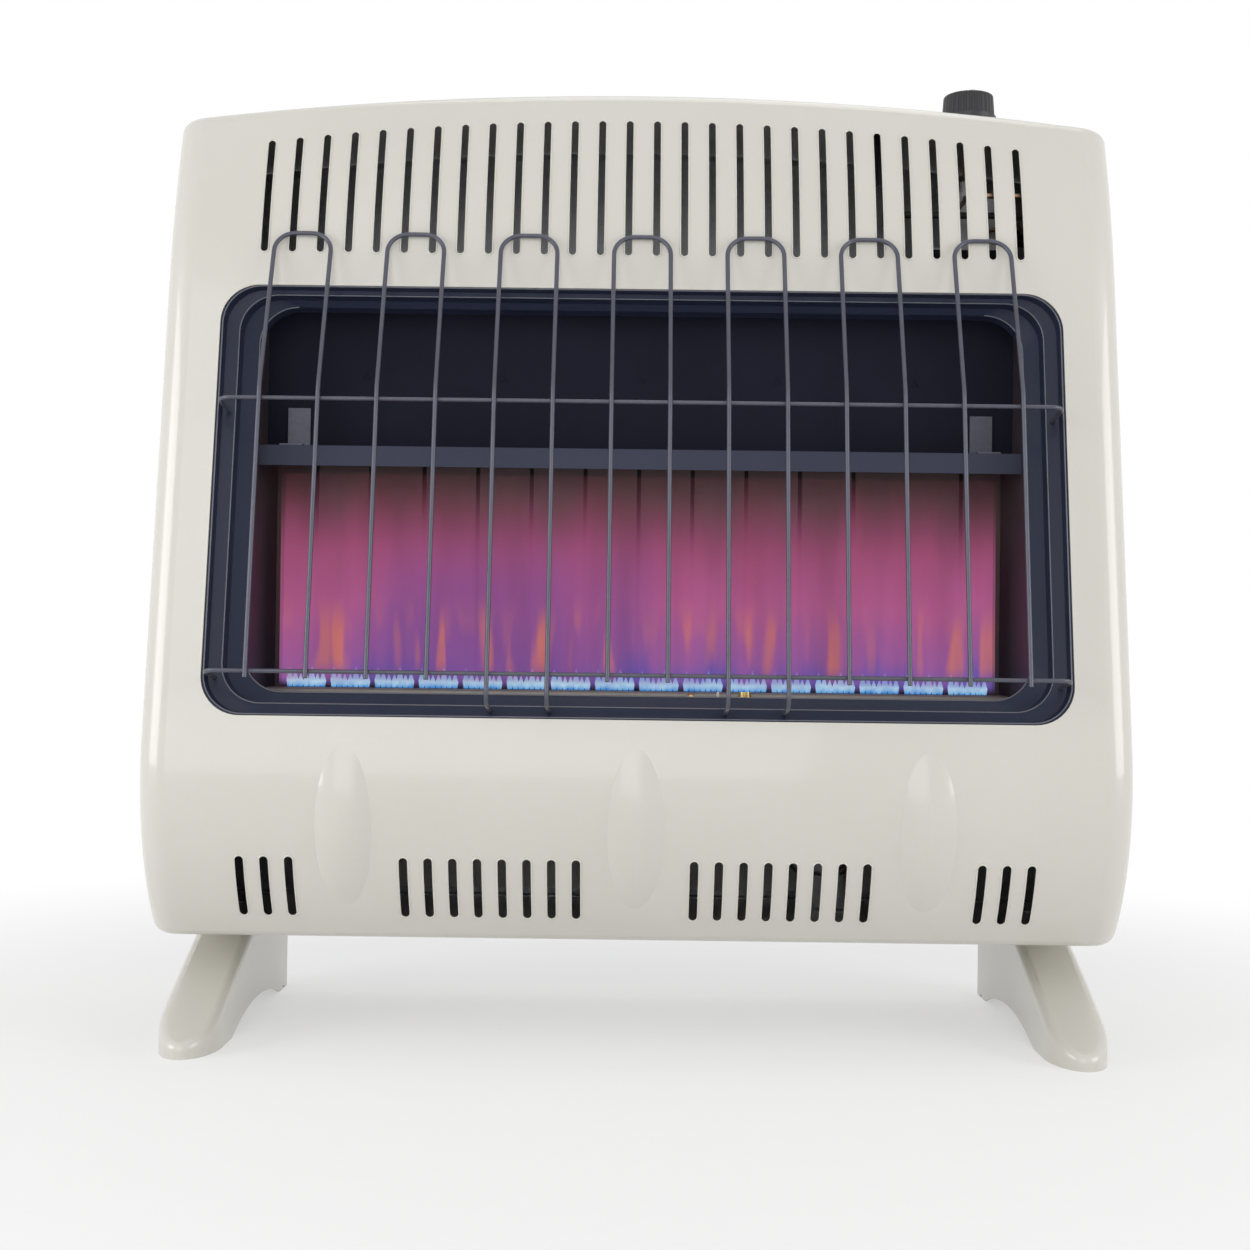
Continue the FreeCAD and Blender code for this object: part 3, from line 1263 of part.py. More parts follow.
def supply_route():
    return [
        regulator_outlet,
        Vector(lane_outer_x, regulator_outlet.y, regulator_height),
        Vector(lane_outer_x, regulator_outlet.y, port_height),
        Vector(lane_outer_x, supply_y, port_height),
        Vector(valve_right, supply_y, port_height),
    ]


def feed_route():
    return [
        Vector(valve_right, feed_y, port_height),
        Vector(lane_outer_x, feed_y, port_height),
        Vector(lane_outer_x, feed_y, mixer_height),
        Vector(lane_outer_x - 2 * TUBE_BEND, burner_y, mixer_height),
        injector_hex_end,
    ]


pilot_foot = pilot_place - UP * LAP / 2
electrode_foot = electrode_place - UP * LAP / 2
probe_foot = probe_place - UP * LAP / 2
valve_front = control_y - VALVE_DEPTH / 2
pilot_port = Vector(control_x - VALVE_WIDTH / 4, valve_front, valve_top - VALVE_PORT_INSET)
probe_port = Vector(control_x + VALVE_WIDTH / 4, valve_front, valve_bottom + VALVE_PORT_INSET)
lead_lane_y = valve_front - LEAD_LANE_STEP
probe_lane_y = valve_front - PROBE_LANE_STEP
igniter_foot = Vector(igniter_x, control_y, igniter_shoulder - IGNITER_LENGTH)


def pilot_route():
    lane_z = pilot_foot.z - LANE_STEP
    return [
        pilot_port,
        Vector(pilot_port.x, pilot_y, pilot_port.z),
        Vector(lane_inner_x, pilot_y, pilot_port.z),
        Vector(lane_inner_x, pilot_y, lane_z),
        Vector(pilot_foot.x, pilot_y, lane_z),
        pilot_foot,
    ]


def ignition_route():
    lane_z = electrode_foot.z - 2 * LANE_STEP
    bottom = valve_bottom + VALVE_HEIGHT / 2
    return [
        igniter_foot,
        Vector(igniter_x, control_y, bottom),
        Vector(igniter_x, lead_lane_y, bottom),
        Vector(lane_middle_x, lead_lane_y, bottom),
        Vector(lane_middle_x, lead_lane_y, lane_z),
        Vector(lane_middle_x, pilot_y, lane_z),
        Vector(electrode_foot.x, pilot_y, lane_z),
        electrode_foot,
    ]


def probe_route():
    lane_z = probe_foot.z - 3 * LANE_STEP
    return [
        probe_port,
        Vector(probe_port.x, probe_lane_y, probe_port.z),
        Vector(lane_outer_x, probe_lane_y, probe_port.z),
        Vector(lane_outer_x, probe_lane_y, lane_z),
        Vector(lane_outer_x, pilot_y, lane_z),
        Vector(probe_foot.x, pilot_y, lane_z),
        probe_foot,
    ]


def trimmed(route, start, end):
    """Route with its first and last runs shortened, to leave room for the nuts or sockets there."""
    first = route[0] + (route[1] - route[0]).normalize() * start
    last = route[-1] + (route[-2] - route[-1]).normalize() * end
    return [first] + route[1:-1] + [last]


def tube_nuts():
    nuts = []
    for route in (supply_route(), feed_route()):
        for end, towards in ((route[0], route[1]), (route[-1], route[-2])):
            nuts.append(hexagon(NUT_RADIUS, end, end + (towards - end).normalize() * NUT_LENGTH))
    return Part.makeCompound(nuts)


small_bend = TUBE_BEND / 2
pieces = {
    "front_panel": front_panel(),
    "cabinet_wrap": cabinet_wrap(),
    "top_panel": top_panel(),
    "rear_panel": rear_panel(),
    "rear_shield": rear_shield(),
    "window_frame": window_frame(),
    "left_foot": foot(-1),
    "right_foot": foot(1),
    "panel_screws": screws(panel_screw_seats),
    "foot_screws": screws(foot_screw_seats),
    "cabinet_screws": screws(cabinet_screw_seats),
    "guard_hairpins": guard_hairpins(),
    "guard_upper_rail": guard_rail(upper_rail_along),
    "guard_lower_rail": guard_rail(rail_along),
    "firebox_left_side": firebox_side(-1),
    "firebox_right_side": firebox_side(1),
    "firebox_floor": firebox_floor(),
    "firebox_back": firebox_back(),
    "firebox_hood": firebox_hood(),
    "hood_brackets": hood_brackets(),
    "burner_body": burner_body(),
    "burner_brackets": burner_brackets(),
    "mixing_tube": mixing_tube(),
    "air_shutter": air_shutter(),
    "injector": injector(),
    "injector_bracket": injector_bracket(),
    "pilot_bracket": pilot_bracket(),
    "pilot_burner": pilot_burner(),
    "thermocouple": thermocouple(),
    "spark_electrode": spark_electrode(),
    "valve_body": valve_body(),
    "valve_plug": valve_plug(),
    "valve_bonnet": valve_bonnet(),
    "valve_spindle": valve_spindle(),
    "control_knob": control_knob(),
    "knob_pointer": knob_pointer(),
    "valve_bracket": valve_bracket(),
    "igniter_body": igniter_body(),
    "igniter_nut": igniter_nut(),
    "igniter_button": igniter_button(),
    "regulator_body": regulator_body(),
    "regulator_cap": regulator_cap(),
    "regulator_bracket": regulator_bracket(),
    "inlet_fitting": inlet_fitting(),
    "supply_tube": tube(trimmed(supply_route(), NUT_LENGTH, NUT_LENGTH), SUPPLY_RADIUS, TUBE_BEND),
    "burner_feed_tube": tube(trimmed(feed_route(), NUT_LENGTH, NUT_LENGTH), FEED_RADIUS, TUBE_BEND),
    "pilot_tube": tube(pilot_route(), PILOT_TUBE_RADIUS, small_bend),
    "ignition_lead": tube(ignition_route(), LEAD_RADIUS, small_bend),
    "thermocouple_lead": tube(probe_route(), CAPILLARY_RADIUS, small_bend),
    "tube_nuts": tube_nuts(),
}

os.makedirs("parts", exist_ok=True)
for name, shape in pieces.items():
    shape.exportStep("parts/" + name + ".step")
    print(name, "valid" if shape.isValid() else "INVALID", len(shape.Solids), round(shape.Volume, 1))
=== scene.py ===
"""Looks of a free-standing blue-flame gas heater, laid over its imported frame."""

import math

import bmesh
import bpy
from bpy.props import FloatProperty, FloatVectorProperty, IntProperty, PointerProperty
from mathutils import Matrix, Vector


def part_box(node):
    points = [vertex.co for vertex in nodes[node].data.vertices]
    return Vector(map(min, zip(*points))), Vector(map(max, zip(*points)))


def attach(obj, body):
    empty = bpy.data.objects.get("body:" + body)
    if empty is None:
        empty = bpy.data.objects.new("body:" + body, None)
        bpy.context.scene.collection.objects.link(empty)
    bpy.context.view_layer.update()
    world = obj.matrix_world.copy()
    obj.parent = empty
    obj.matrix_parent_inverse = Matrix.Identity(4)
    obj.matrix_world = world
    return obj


bl_info = {
    "name": "Blue flame gas heater",
    "version": (1, 0, 0),
    "blender": (4, 5, 0),
    "location": "View3D > Sidebar > Heater",
    "description": "Builds the finishes, flames and studio of a gas heater",
    "category": "Object",
}

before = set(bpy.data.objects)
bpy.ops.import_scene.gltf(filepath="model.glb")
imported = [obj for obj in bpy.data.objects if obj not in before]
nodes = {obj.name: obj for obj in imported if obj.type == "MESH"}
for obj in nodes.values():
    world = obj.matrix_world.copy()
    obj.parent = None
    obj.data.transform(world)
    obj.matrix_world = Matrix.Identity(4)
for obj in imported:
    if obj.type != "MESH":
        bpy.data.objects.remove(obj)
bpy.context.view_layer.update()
ROOT = "heater"

# Lengths in metres, angles in degrees, tones as pairs of a darker and a lighter colour

MERGE = 0.00001
SHEET_CREASE = 32.0
FRAME_CREASE = 40.0
WIRE_CREASE = 50.0

# Beads: which edges they follow, by the way the faces beside them look along Y
WINDOW_LOW, WINDOW_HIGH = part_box("window_frame")
SLOT_HALF_WIDTH = 0.0036
OUTSIDE_LOOK = -0.6
WALL_LOOK = 0.25
STEP_LOOK = -0.5
STEP_ANGLE = 35.0
BEAD_SIDES = 8

# Hood: its front lip and a row of pressed dimples
HOOD_LIP_HEIGHT = 0.015
HOOD_LIP_BLEND = 0.0005
DIMPLE_BACK_GAP = 0.0012
DIMPLE_LEVEL_SHARE = 0.46
DIMPLE_HALF_WIDTH = 0.0045
DIMPLE_HALF_HEIGHT = 0.0040
DIMPLE_DEPTH = 0.0012
DIMPLE_TIP_SHARE = 0.2
DIMPLES = 5
DIMPLE_PITCH = 0.104
BACK_SEAM_PITCH = 0.042

# Flames: six-sided jets and swaying sheets of glow
FLAME_LIFT = 0.0004
JET_SIDES = 6
JET_FOOT_SHARE = 0.7
JET_BELLY_SHARE = 0.35
JET_VARY = 0.45
JET_SEED = 7
SHEET_END_GAP = 0.008
SHEET_STEP = 0.011
SHEET_COLUMNS = 60
SHEET_LEVELS = (0.0, 0.5, 1.0)
SWAY = 0.003
SWAY_TURNS = 190.0
SWAY_LAG = 2.1

# Studio: lamps as name, place, size and share of the set power
FLOOR_HALF = 9.0
LAMP_AIM = Vector((0, 0, 0.4))
LAMPS = (
    ("left", (-1.7, -0.9, 0.7), 1.0, 1.0),
    ("right", (1.7, -0.9, 0.7), 1.0, 0.9),
    ("front", (-0.4, -2.3, 0.9), 1.6, 0.8),
    ("top", (0.2, 0.1, 2.2), 1.2, 0.5),
)
SENSOR_WIDTH = 36.0
NEAR_CLIP = 0.05

# Tones, and a grain that runs the same in every way
EVEN = (1.0, 1.0, 1.0)
BLACK = (0.0, 0.0, 0.0, 1.0)
STEEL = ((0.34, 0.34, 0.35), (0.55, 0.55, 0.56))
BRASS = ((0.42, 0.29, 0.10), (0.66, 0.50, 0.22))
ALLOY = ((0.36, 0.36, 0.38), (0.55, 0.55, 0.57))
COPPER = ((0.30, 0.19, 0.13), (0.50, 0.33, 0.23))
# Pale tone of the rear shield: partly its own aluminised colour, partly painted light, as if light came in
# through an open base
ALUMINISED_AND_LIT = ((0.62, 0.62, 0.60), (0.74, 0.74, 0.72))
GALVANISED = ((0.36, 0.37, 0.38), (0.50, 0.51, 0.52))
# Lighter tone of the frame's step beads: a painted highlight along the rolled edges
EDGE_HIGHLIGHT_TONES = ((0.075, 0.080, 0.105), (0.120, 0.125, 0.155))
DARK_BRACKET = ((0.050, 0.052, 0.070), (0.110, 0.115, 0.150))
FIREBOX_STEEL = ((0.030, 0.030, 0.042), (0.085, 0.080, 0.100))
BACK_PLATE = ((0.060, 0.050, 0.052), (0.120, 0.095, 0.095))
BURNER_STEEL = ((0.12, 0.11, 0.10), (0.30, 0.28, 0.26))
# Near-black hood plate: painted shade of the recess behind the hood's lip
SHADED_HOOD_PLATE = ((0.006, 0.007, 0.014), (0.020, 0.021, 0.036))
HOOD_LIP = ((0.044, 0.048, 0.075), (0.070, 0.075, 0.110))
FIREBOX_TINT = (0.16, 0.07, 0.07)
BURNER_TINT = (0.20, 0.14, 0.16)
SEAM_TONE = (0.004, 0.003, 0.004)
CERAMIC = ((0.62, 0.60, 0.55), (0.74, 0.72, 0.68))
RUBBER = ((0.02, 0.02, 0.02), (0.05, 0.05, 0.05))
BLACK_PLASTIC = ((0.012, 0.012, 0.014), (0.030, 0.030, 0.034))
WHITE_MARK = ((0.62, 0.62, 0.60), (0.75, 0.75, 0.72))
FLOOR_TONES = ((0.86, 0.86, 0.86), (0.89, 0.89, 0.89))
VIOLET = (0.17, 0.075, 0.30)
ORANGE = (0.68, 0.20, 0.14)
GLOW_STOPS = (
    (0.00, (0.16, 0.10, 0.42)), (0.12, (0.32, 0.11, 0.34)), (0.38, (0.44, 0.11, 0.27)),
    (0.66, (0.37, 0.085, 0.19)), (1.00, (0.15, 0.045, 0.06)),
)
JET_STOPS = (
    (0.00, (0.06, 0.25, 0.62)), (0.28, (0.52, 0.80, 0.88)),
    (0.55, (0.32, 0.64, 0.88)), (1.00, (0.16, 0.20, 0.70)),
)


# Shader values with ordinary arithmetic

class Value:
    """An output socket that can be added, multiplied and compared like a number."""

    def __init__(self, tree, socket):
        self.tree = tree
        self.socket = socket

    def _math(self, operation, *others, clamp=False):
        node = self.tree.nodes.new("ShaderNodeMath")
        node.operation = operation
        node.use_clamp = clamp
        for place, item in zip(node.inputs, (self, *others)):
            plug(self.tree, item, place)
        return Value(self.tree, node.outputs[0])

    def __add__(self, other):
        return self._math("ADD", other)

    __radd__ = __add__

    def __sub__(self, other):
        return self._math("SUBTRACT", other)

    def __rsub__(self, other):
        return (self * -1.0) + other

    def __mul__(self, other):
        return self._math("MULTIPLY", other)

    __rmul__ = __mul__

    def __truediv__(self, other):
        return self._math("DIVIDE", other)

    def __pow__(self, other):
        return self._math("POWER", other)

    def fraction(self):
        return self._math("FRACT")

    def absolute(self):
        return self._math("ABSOLUTE")

    def clamped(self):
        return self._math("ADD", 0.0, clamp=True)

    def smooth(self, low, high):
        """Smooth step from 0 at low to 1 at high."""
        node = self.tree.nodes.new("ShaderNodeMapRange")
        node.interpolation_type = "SMOOTHSTEP"
        plug(self.tree, self, node.inputs["Value"])
        plug(self.tree, low, node.inputs["From Min"])
        plug(self.tree, high, node.inputs["From Max"])
        return Value(self.tree, node.outputs[0])


def plug(tree, item, socket):
    """Links a value to a socket, or sets the socket to a number or colour."""
    if isinstance(item, Value):
        tree.links.new(item.socket, socket)
    else:
        socket.default_value = item


class Paint:
    """A material on the Principled shader, with helpers for its textures."""

    def __init__(self, name):
        self.material = bpy.data.materials.new(name)
        self.material.use_nodes = True
        self.tree = self.material.node_tree
        self.tree.nodes.clear()
        output = self.tree.nodes.new("ShaderNodeOutputMaterial")
        self.surface = output.inputs["Surface"]
        self.shader = self.tree.nodes.new("ShaderNodeBsdfPrincipled")
        self.tree.links.new(self.shader.outputs[0], self.surface)
        self.place = self.tree.nodes.new("ShaderNodeTexCoord").outputs["Object"]

    def set(self, **inputs):
        for name, item in inputs.items():
            plug(self.tree, item, self.shader.inputs[name.replace("_", " ")])
        return self

    def axis(self, name):
        node = self.tree.nodes.new("ShaderNodeSeparateXYZ")
        self.tree.links.new(self.place, node.inputs[0])
        return Value(self.tree, node.outputs[name])

    def stretched(self, x, y, z):
        node = self.tree.nodes.new("ShaderNodeVectorMath")
        node.operation = "MULTIPLY"
        self.tree.links.new(self.place, node.inputs[0])
        node.inputs[1].default_value = (x, y, z)
        return node.outputs[0]

    def noise(self, scale, detail=2.0, stretch=(1, 1, 1)):
        node = self.tree.nodes.new("ShaderNodeTexNoise")
        node.inputs["Scale"].default_value = scale
        node.inputs["Detail"].default_value = detail
        self.tree.links.new(self.stretched(*stretch), node.inputs["Vector"])
        return Value(self.tree, node.outputs[0])

    def cells(self, scale):
        node = self.tree.nodes.new("ShaderNodeTexVoronoi")
        node.inputs["Scale"].default_value = scale
        self.tree.links.new(self.place, node.inputs["Vector"])
        split = self.tree.nodes.new("ShaderNodeSeparateColor")
        self.tree.links.new(node.outputs["Color"], split.inputs[0])
        return Value(self.tree, split.outputs[0])

    def mix(self, share, first, second):
        node = self.tree.nodes.new("ShaderNodeMix")
        node.data_type = "RGBA"
        plug(self.tree, share, node.inputs[0])
        for item, socket in ((first, node.inputs[6]), (second, node.inputs[7])):
            plug(self.tree, item if isinstance(item, Value) else (*item, 1.0), socket)
        return Value(self.tree, node.outputs[2])

    def ramp(self, value, stops):
        node = self.tree.nodes.new("ShaderNodeValToRGB")
        plug(self.tree, value, node.inputs[0])
        elements = node.color_ramp.elements
        while len(elements) < len(stops):
            elements.new(0.5)
        for element, (position, colour) in zip(elements, stops):
            element.position = position
            element.color = (*colour, 1.0)
        return Value(self.tree, node.outputs[0])

    def bump(self, height, strength, distance):
        node = self.tree.nodes.new("ShaderNodeBump")
        node.inputs["Strength"].default_value = strength
        node.inputs["Distance"].default_value = distance
        plug(self.tree, height, node.inputs["Height"])
        self.set(Normal=Value(self.tree, node.outputs[0]))
        return self


# Finishes

def enamel(name, dark, light, gloss, coat, shine=0.5):
    """Stove enamel: a slow drift of tone, fine orange peel and a soft wear in the gloss."""
    paint = Paint(name)
    drift = paint.noise(scale=7.0, detail=3.0)
    fine = paint.noise(scale=420.0)
    smear = paint.noise(scale=18.0, detail=4.0, stretch=(1.0, 1.0, 0.4))
    paint.set(Base_Color=paint.mix(drift * 0.8 + fine * 0.2, dark, light))
    paint.set(Roughness=smear * 0.06 + (gloss + 0.03), Specular_IOR_Level=shine)
    paint.set(Coat_Weight=coat, Coat_Roughness=0.06)
    return paint.bump(fine, strength=0.05, distance=0.0002).material


def metal(name, dark, light, rough, grain=(1.0, 1.0, 0.06), shine=1.0):
    """Drawn or rolled metal with a grain along one way and a patchy dullness."""
    paint = Paint(name)
    streak = paint.noise(scale=260.0, stretch=grain)
    patch = paint.noise(scale=26.0, detail=4.0)
    paint.set(Base_Color=paint.mix(streak * 0.5 + patch * 0.5, dark, light), Metallic=shine)
    paint.set(Roughness=patch * 0.22 + rough)
    return paint.bump(streak, strength=0.10, distance=0.0003).material


def steel(name):
    """Plated steel of screws and nuts."""
    return metal(name, *STEEL, rough=0.22, grain=EVEN)


def brass():
    """Turned brass of the gas fittings."""
    return metal("brass", *BRASS, rough=0.18, grain=EVEN)


def zinc(name):
    """Galvanised sheet with its spangle."""
    paint = Paint(name)
    spangle = paint.cells(scale=240.0)
    patch = paint.noise(scale=14.0, detail=4.0)
    paint.set(Base_Color=paint.mix(spangle * 0.6 + patch * 0.4, *GALVANISED), Metallic=0.85)
    paint.set(Roughness=spangle * 0.15 + patch * 0.15 + 0.28)
    return paint.bump(spangle, strength=0.05, distance=0.0002).material


def stained(name, dark, light, tint, seam=None):
    """Firebox steel: streaks, soot in patches, a warm tint above the burner and, at a pitch, dark seams."""
    paint = Paint(name)
    z = paint.axis("Z")
    streak = paint.noise(scale=60.0, detail=3.0, stretch=(1.0, 1.0, 0.12))
    soot = paint.noise(scale=9.0, detail=5.0)
    warm = z.smooth(0.25, 0.40) * (1.0 - z.smooth(0.40, 0.58)) * 0.5
    base = paint.mix(streak * 0.6 + soot * 0.4, dark, light)
    base = paint.mix(warm * soot, base, tint)
    if seam:
        place = ((paint.axis("X") / seam).fraction() - 0.5).absolute()
        base = paint.mix(place.smooth(0.455, 0.470), base, SEAM_TONE)
    paint.set(Base_Color=base, Metallic=0.55)
    paint.set(Roughness=soot * 0.25 + 0.34)
    return paint.bump(streak, strength=0.08, distance=0.0004).material


def moulded(name, dark, light, rough):
    """Moulded plastic, rubber or glaze with a faint skin texture."""
    paint = Paint(name)
    grain = paint.noise(scale=900.0)
    drift = paint.noise(scale=40.0, detail=3.0)
    paint.set(Base_Color=paint.mix(drift, dark, light), Roughness=drift * 0.15 + rough)
    return paint.bump(grain, strength=0.10, distance=0.0002).material


def hood_steel(name, lip_top):
    """Hood of dark steel with soot in patches and a greyer front lip; the plate above the lip is near-black,
    which is painted shade of the recess behind the lip.
    """
    paint = Paint(name)
    soot = paint.noise(scale=11.0, detail=4.0)
    lip = 1.0 - paint.axis("Z").smooth(lip_top - HOOD_LIP_BLEND, lip_top + HOOD_LIP_BLEND)
    # The plate above the lip is darkened to near-black as painted shade of the recess
    plate = paint.mix(soot, *SHADED_HOOD_PLATE)
    edge = paint.mix(soot, *HOOD_LIP)
    paint.set(Base_Color=paint.mix(lip, plate, edge), Roughness=soot * 0.2 + 0.55, Specular_IOR_Level=0.06)
    return paint.bump(soot, strength=0.06, distance=0.0004).material


def burning(name, colour_of, strength):
    """Glowing gas, which only emits, with the colour and cover that a function gives."""
    paint = Paint(name)
    colour, cover = colour_of(paint)
    paint.set(Base_Color=BLACK, Roughness=1.0, Specular_IOR_Level=0.0)
    paint.set(Emission_Color=colour, Emission_Strength=strength, Alpha=cover.clamped())
    return paint.material


def flame_sheet(name, foot, height):
    """Glow over the burner: violet low down, rose above, orange tongues and a dull red head."""
    def colour_of(paint):
        level = (paint.axis("Z") - foot) / height
        tongue = paint.noise(scale=21.0, stretch=(1.0, 1.0, 0.22))
        column = paint.noise(scale=9.0, detail=1.0, stretch=(1.0, 1.0, 0.15))
        wisp = paint.noise(scale=80.0, detail=3.0, stretch=(1.0, 1.0, 0.12))
        streak = paint.noise(scale=38.0, stretch=(1.0, 1.0, 0.08))
        lick = paint.noise(scale=64.0, detail=1.0, stretch=(1.0, 1.0, 0.16))
        colour = paint.ramp(level + (wisp - 0.5) * 0.22 + (tongue - 0.5) * 0.35, GLOW_STOPS)
        violet = (1.0 - column.smooth(0.38, 0.52)) * (1.0 - level.smooth(0.35, 0.85)) * 0.55
        orange = lick.smooth(0.53, 0.66) * level.smooth(0.03, 0.14) * (1.0 - level.smooth(0.22, 0.46))
        colour = paint.mix(orange * 0.8, paint.mix(violet, colour, VIOLET), ORANGE)
        head = 1.0 - level.smooth(tongue * 0.9 + 0.10, tongue * 0.5 + 0.75)
        head = head * (streak.smooth(0.25, 0.62) * 0.45 + 0.55)
        return colour, (head * 0.62 + 0.06) * (wisp * 0.5 + 0.75) * level.smooth(0.0, 0.05)

    return burning(name, colour_of, strength=1.0)


def flame_jet(name, foot, height):
    """The bright blue cone that stands on each port."""
    def colour_of(paint):
        level = (paint.axis("Z") - foot) / height
        flick = paint.noise(scale=160.0)
        colour = paint.ramp(level + (flick - 0.5) * 0.3, JET_STOPS)
        return colour, (1.0 - level.smooth(0.40, 1.05)) * (flick * 0.5 + 0.55)

    return burning(name, colour_of, strength=1.05)


def background_rays(tree):
    """1 for rays that show the background: from the camera, mirrored or through a clear piece."""
    light = tree.nodes.new("ShaderNodeLightPath")
    kinds = ("Is Camera Ray", "Is Transmission Ray", "Is Glossy Ray")
    camera, clear, mirrored = (Value(tree, light.outputs[kind]) for kind in kinds)
    return (camera + clear + mirrored).clamped()


def studio_floor(name):
    """Matt pale floor that keeps the shadow near the heater and runs out to white."""
    paint = Paint(name)
    x, y = paint.axis("X"), paint.axis("Y")
    grain = paint.noise(scale=60.0, detail=3.0)
    paint.set(Base_Color=paint.mix(grain, *FLOOR_TONES), Roughness=grain * 0.1 + 0.75)
    away = (x * x + y * y) ** 0.5
    white = paint.tree.nodes.new("ShaderNodeEmission")
    blend = paint.tree.nodes.new("ShaderNodeMixShader")
    share = background_rays(paint.tree) * (away.smooth(0.40, 1.10) * 0.5 + 0.5)
    plug(paint.tree, share, blend.inputs[0])
    paint.tree.links.new(paint.shader.outputs[0], blend.inputs[1])
    paint.tree.links.new(white.outputs[0], blend.inputs[2])
    paint.tree.links.new(blend.outputs[0], paint.surface)
    return paint.material


# Helpers for pieces

def finish_nodes(names, material, crease=SHEET_CREASE):
    """Gives frame nodes a finish and smooth shading up to a crease angle."""
    for name in names:
        mesh = nodes[name].data
        mesh.materials.clear()
        mesh.materials.append(material)
        custom = mesh.attributes.get("custom_normal")
        if custom:
            mesh.attributes.remove(custom)
        mesh.shade_smooth()
        mesh.set_sharp_from_angle(angle=math.radians(crease))


def add_mesh(name, vertices, faces, material=None, smooth=False, edges=()):
    """New mesh object in the scene."""
    mesh = bpy.data.meshes.new(name)
    mesh.from_pydata([tuple(v) for v in vertices], list(edges), faces)
    if material:
        mesh.materials.append(material)
    if smooth:
        mesh.shade_smooth()
    item = bpy.data.objects.new(name, mesh)
    bpy.context.scene.collection.objects.link(item)
    return item


def new_tree(name, sockets):
    """Geometry Nodes tree that takes a mesh and the named values; also their keys and outputs."""
    tree = bpy.data.node_groups.new(name, "GeometryNodeTree")
    face = tree.interface
    face.new_socket("Geometry", in_out="INPUT", socket_type="NodeSocketGeometry")
    keys = {}
    for label, kind in sockets.items():
        keys[label] = face.new_socket(label, in_out="INPUT", socket_type="NodeSocket" + kind).identifier
    face.new_socket("Geometry", in_out="OUTPUT", socket_type="NodeSocketGeometry")
    return tree, keys, tree.nodes.new("NodeGroupInput").outputs


def end_tree(tree, geometry, material):
    """Makes the geometry real, sets its material and hands it on as the tree's result."""
    real = tree.nodes.new("GeometryNodeRealizeInstances")
    tree.links.new(geometry, real.inputs[0])
    paint = tree.nodes.new("GeometryNodeSetMaterial")
    tree.links.new(real.outputs[0], paint.inputs["Geometry"])
    tree.links.new(material, paint.inputs["Material"])
    tree.links.new(paint.outputs[0], tree.nodes.new("NodeGroupOutput").inputs[0])


def row_tree(name):
    """Geometry Nodes tree that repeats its own mesh along X, for a number of groups and places in a group."""
    tree, keys, given = new_tree(name, {
        "Groups": "Int", "Group Pitch": "Float", "Places": "Int", "Place Pitch": "Float", "Vary": "Float",
        "Material": "Material",
    })
    make, join = tree.nodes.new, tree.links.new

    def along(axis, value, others=0.0):
        node = make("ShaderNodeCombineXYZ")
        for socket in node.inputs:
            plug(tree, value if socket.name == axis else others, socket)
        return node.outputs[0]

    def repeat(instance, label):
        count, pitch = Value(tree, given[label + "s"]), Value(tree, given[label + " Pitch"])
        row = make("GeometryNodeMeshLine")
        join(count.socket, row.inputs["Count"])
        join(along("X", (count - 1.0) * -0.5 * pitch), row.inputs["Start Location"])
        join(along("X", pitch), row.inputs["Offset"])
        node = make("GeometryNodeInstanceOnPoints")
        join(row.outputs[0], node.inputs["Points"])
        join(instance, node.inputs["Instance"])
        return node

    inner = repeat(given["Geometry"], "Place")
    chance = make("FunctionNodeRandomValue")
    plug(tree, 1.0 - Value(tree, given["Vary"]), chance.inputs[2])
    chance.inputs[3].default_value = 1.0
    chance.inputs["Seed"].default_value = JET_SEED
    join(along("Z", Value(tree, chance.outputs[1]), 1.0), inner.inputs["Scale"])
    solid = make("GeometryNodeRealizeInstances")
    join(inner.outputs[0], solid.inputs[0])
    end_tree(tree, repeat(solid.outputs[0], "Group").outputs[0], given["Material"])
    return tree, keys


def bead_tree(name):
    """Geometry Nodes tree that lays a round bead along the edges of a wire mesh."""
    tree, keys, given = new_tree(name, {"Radius": "Float", "Sides": "Int", "Material": "Material"})
    make, join = tree.nodes.new, tree.links.new
    path = make("GeometryNodeMeshToCurve")
    join(given["Geometry"], path.inputs[0])
    ring = make("GeometryNodeCurvePrimitiveCircle")
    join(given["Sides"], ring.inputs["Resolution"])
    join(given["Radius"], ring.inputs["Radius"])
    sweep = make("GeometryNodeCurveToMesh")
    join(path.outputs[0], sweep.inputs["Curve"])
    join(ring.outputs[0], sweep.inputs["Profile Curve"])
    end_tree(tree, sweep.outputs[0], given["Material"])
    return tree, keys


def grown(item, tree, keys, values):
    """Runs a tree on an object's mesh and keeps the result as a plain mesh."""
    modifier = item.modifiers.new("grow", "NODES")
    modifier.node_group = tree
    for label, value in values.items():
        modifier[keys[label]] = value
    bpy.context.view_layer.update()
    graph = bpy.context.evaluated_depsgraph_get()
    mesh = bpy.data.meshes.new_from_object(item.evaluated_get(graph))
    item.modifiers.clear()
    item.data = mesh
    return item


def repeat_row(item, values):
    """Repeats an object's mesh in groups along X."""
    return grown(item, *row_tree(item.name + "_row"), values)


def wire_of(name, wanted):
    """Points and edges of a node's mesh, for the edges between two faces that a test picks."""
    work = bmesh.new()
    work.from_mesh(nodes[name].data)
    bmesh.ops.remove_doubles(work, verts=work.verts, dist=MERGE)
    numbers, points, edges = {}, [], []
    for edge in work.edges:
        if len(edge.link_faces) == 2 and wanted(edge):
            for end in edge.verts:
                if end.index not in numbers:
                    numbers[end.index] = len(points)
                    points.append(end.co.copy())
            edges.append(tuple(numbers[end.index] for end in edge.verts))
    work.free()
    return points, edges


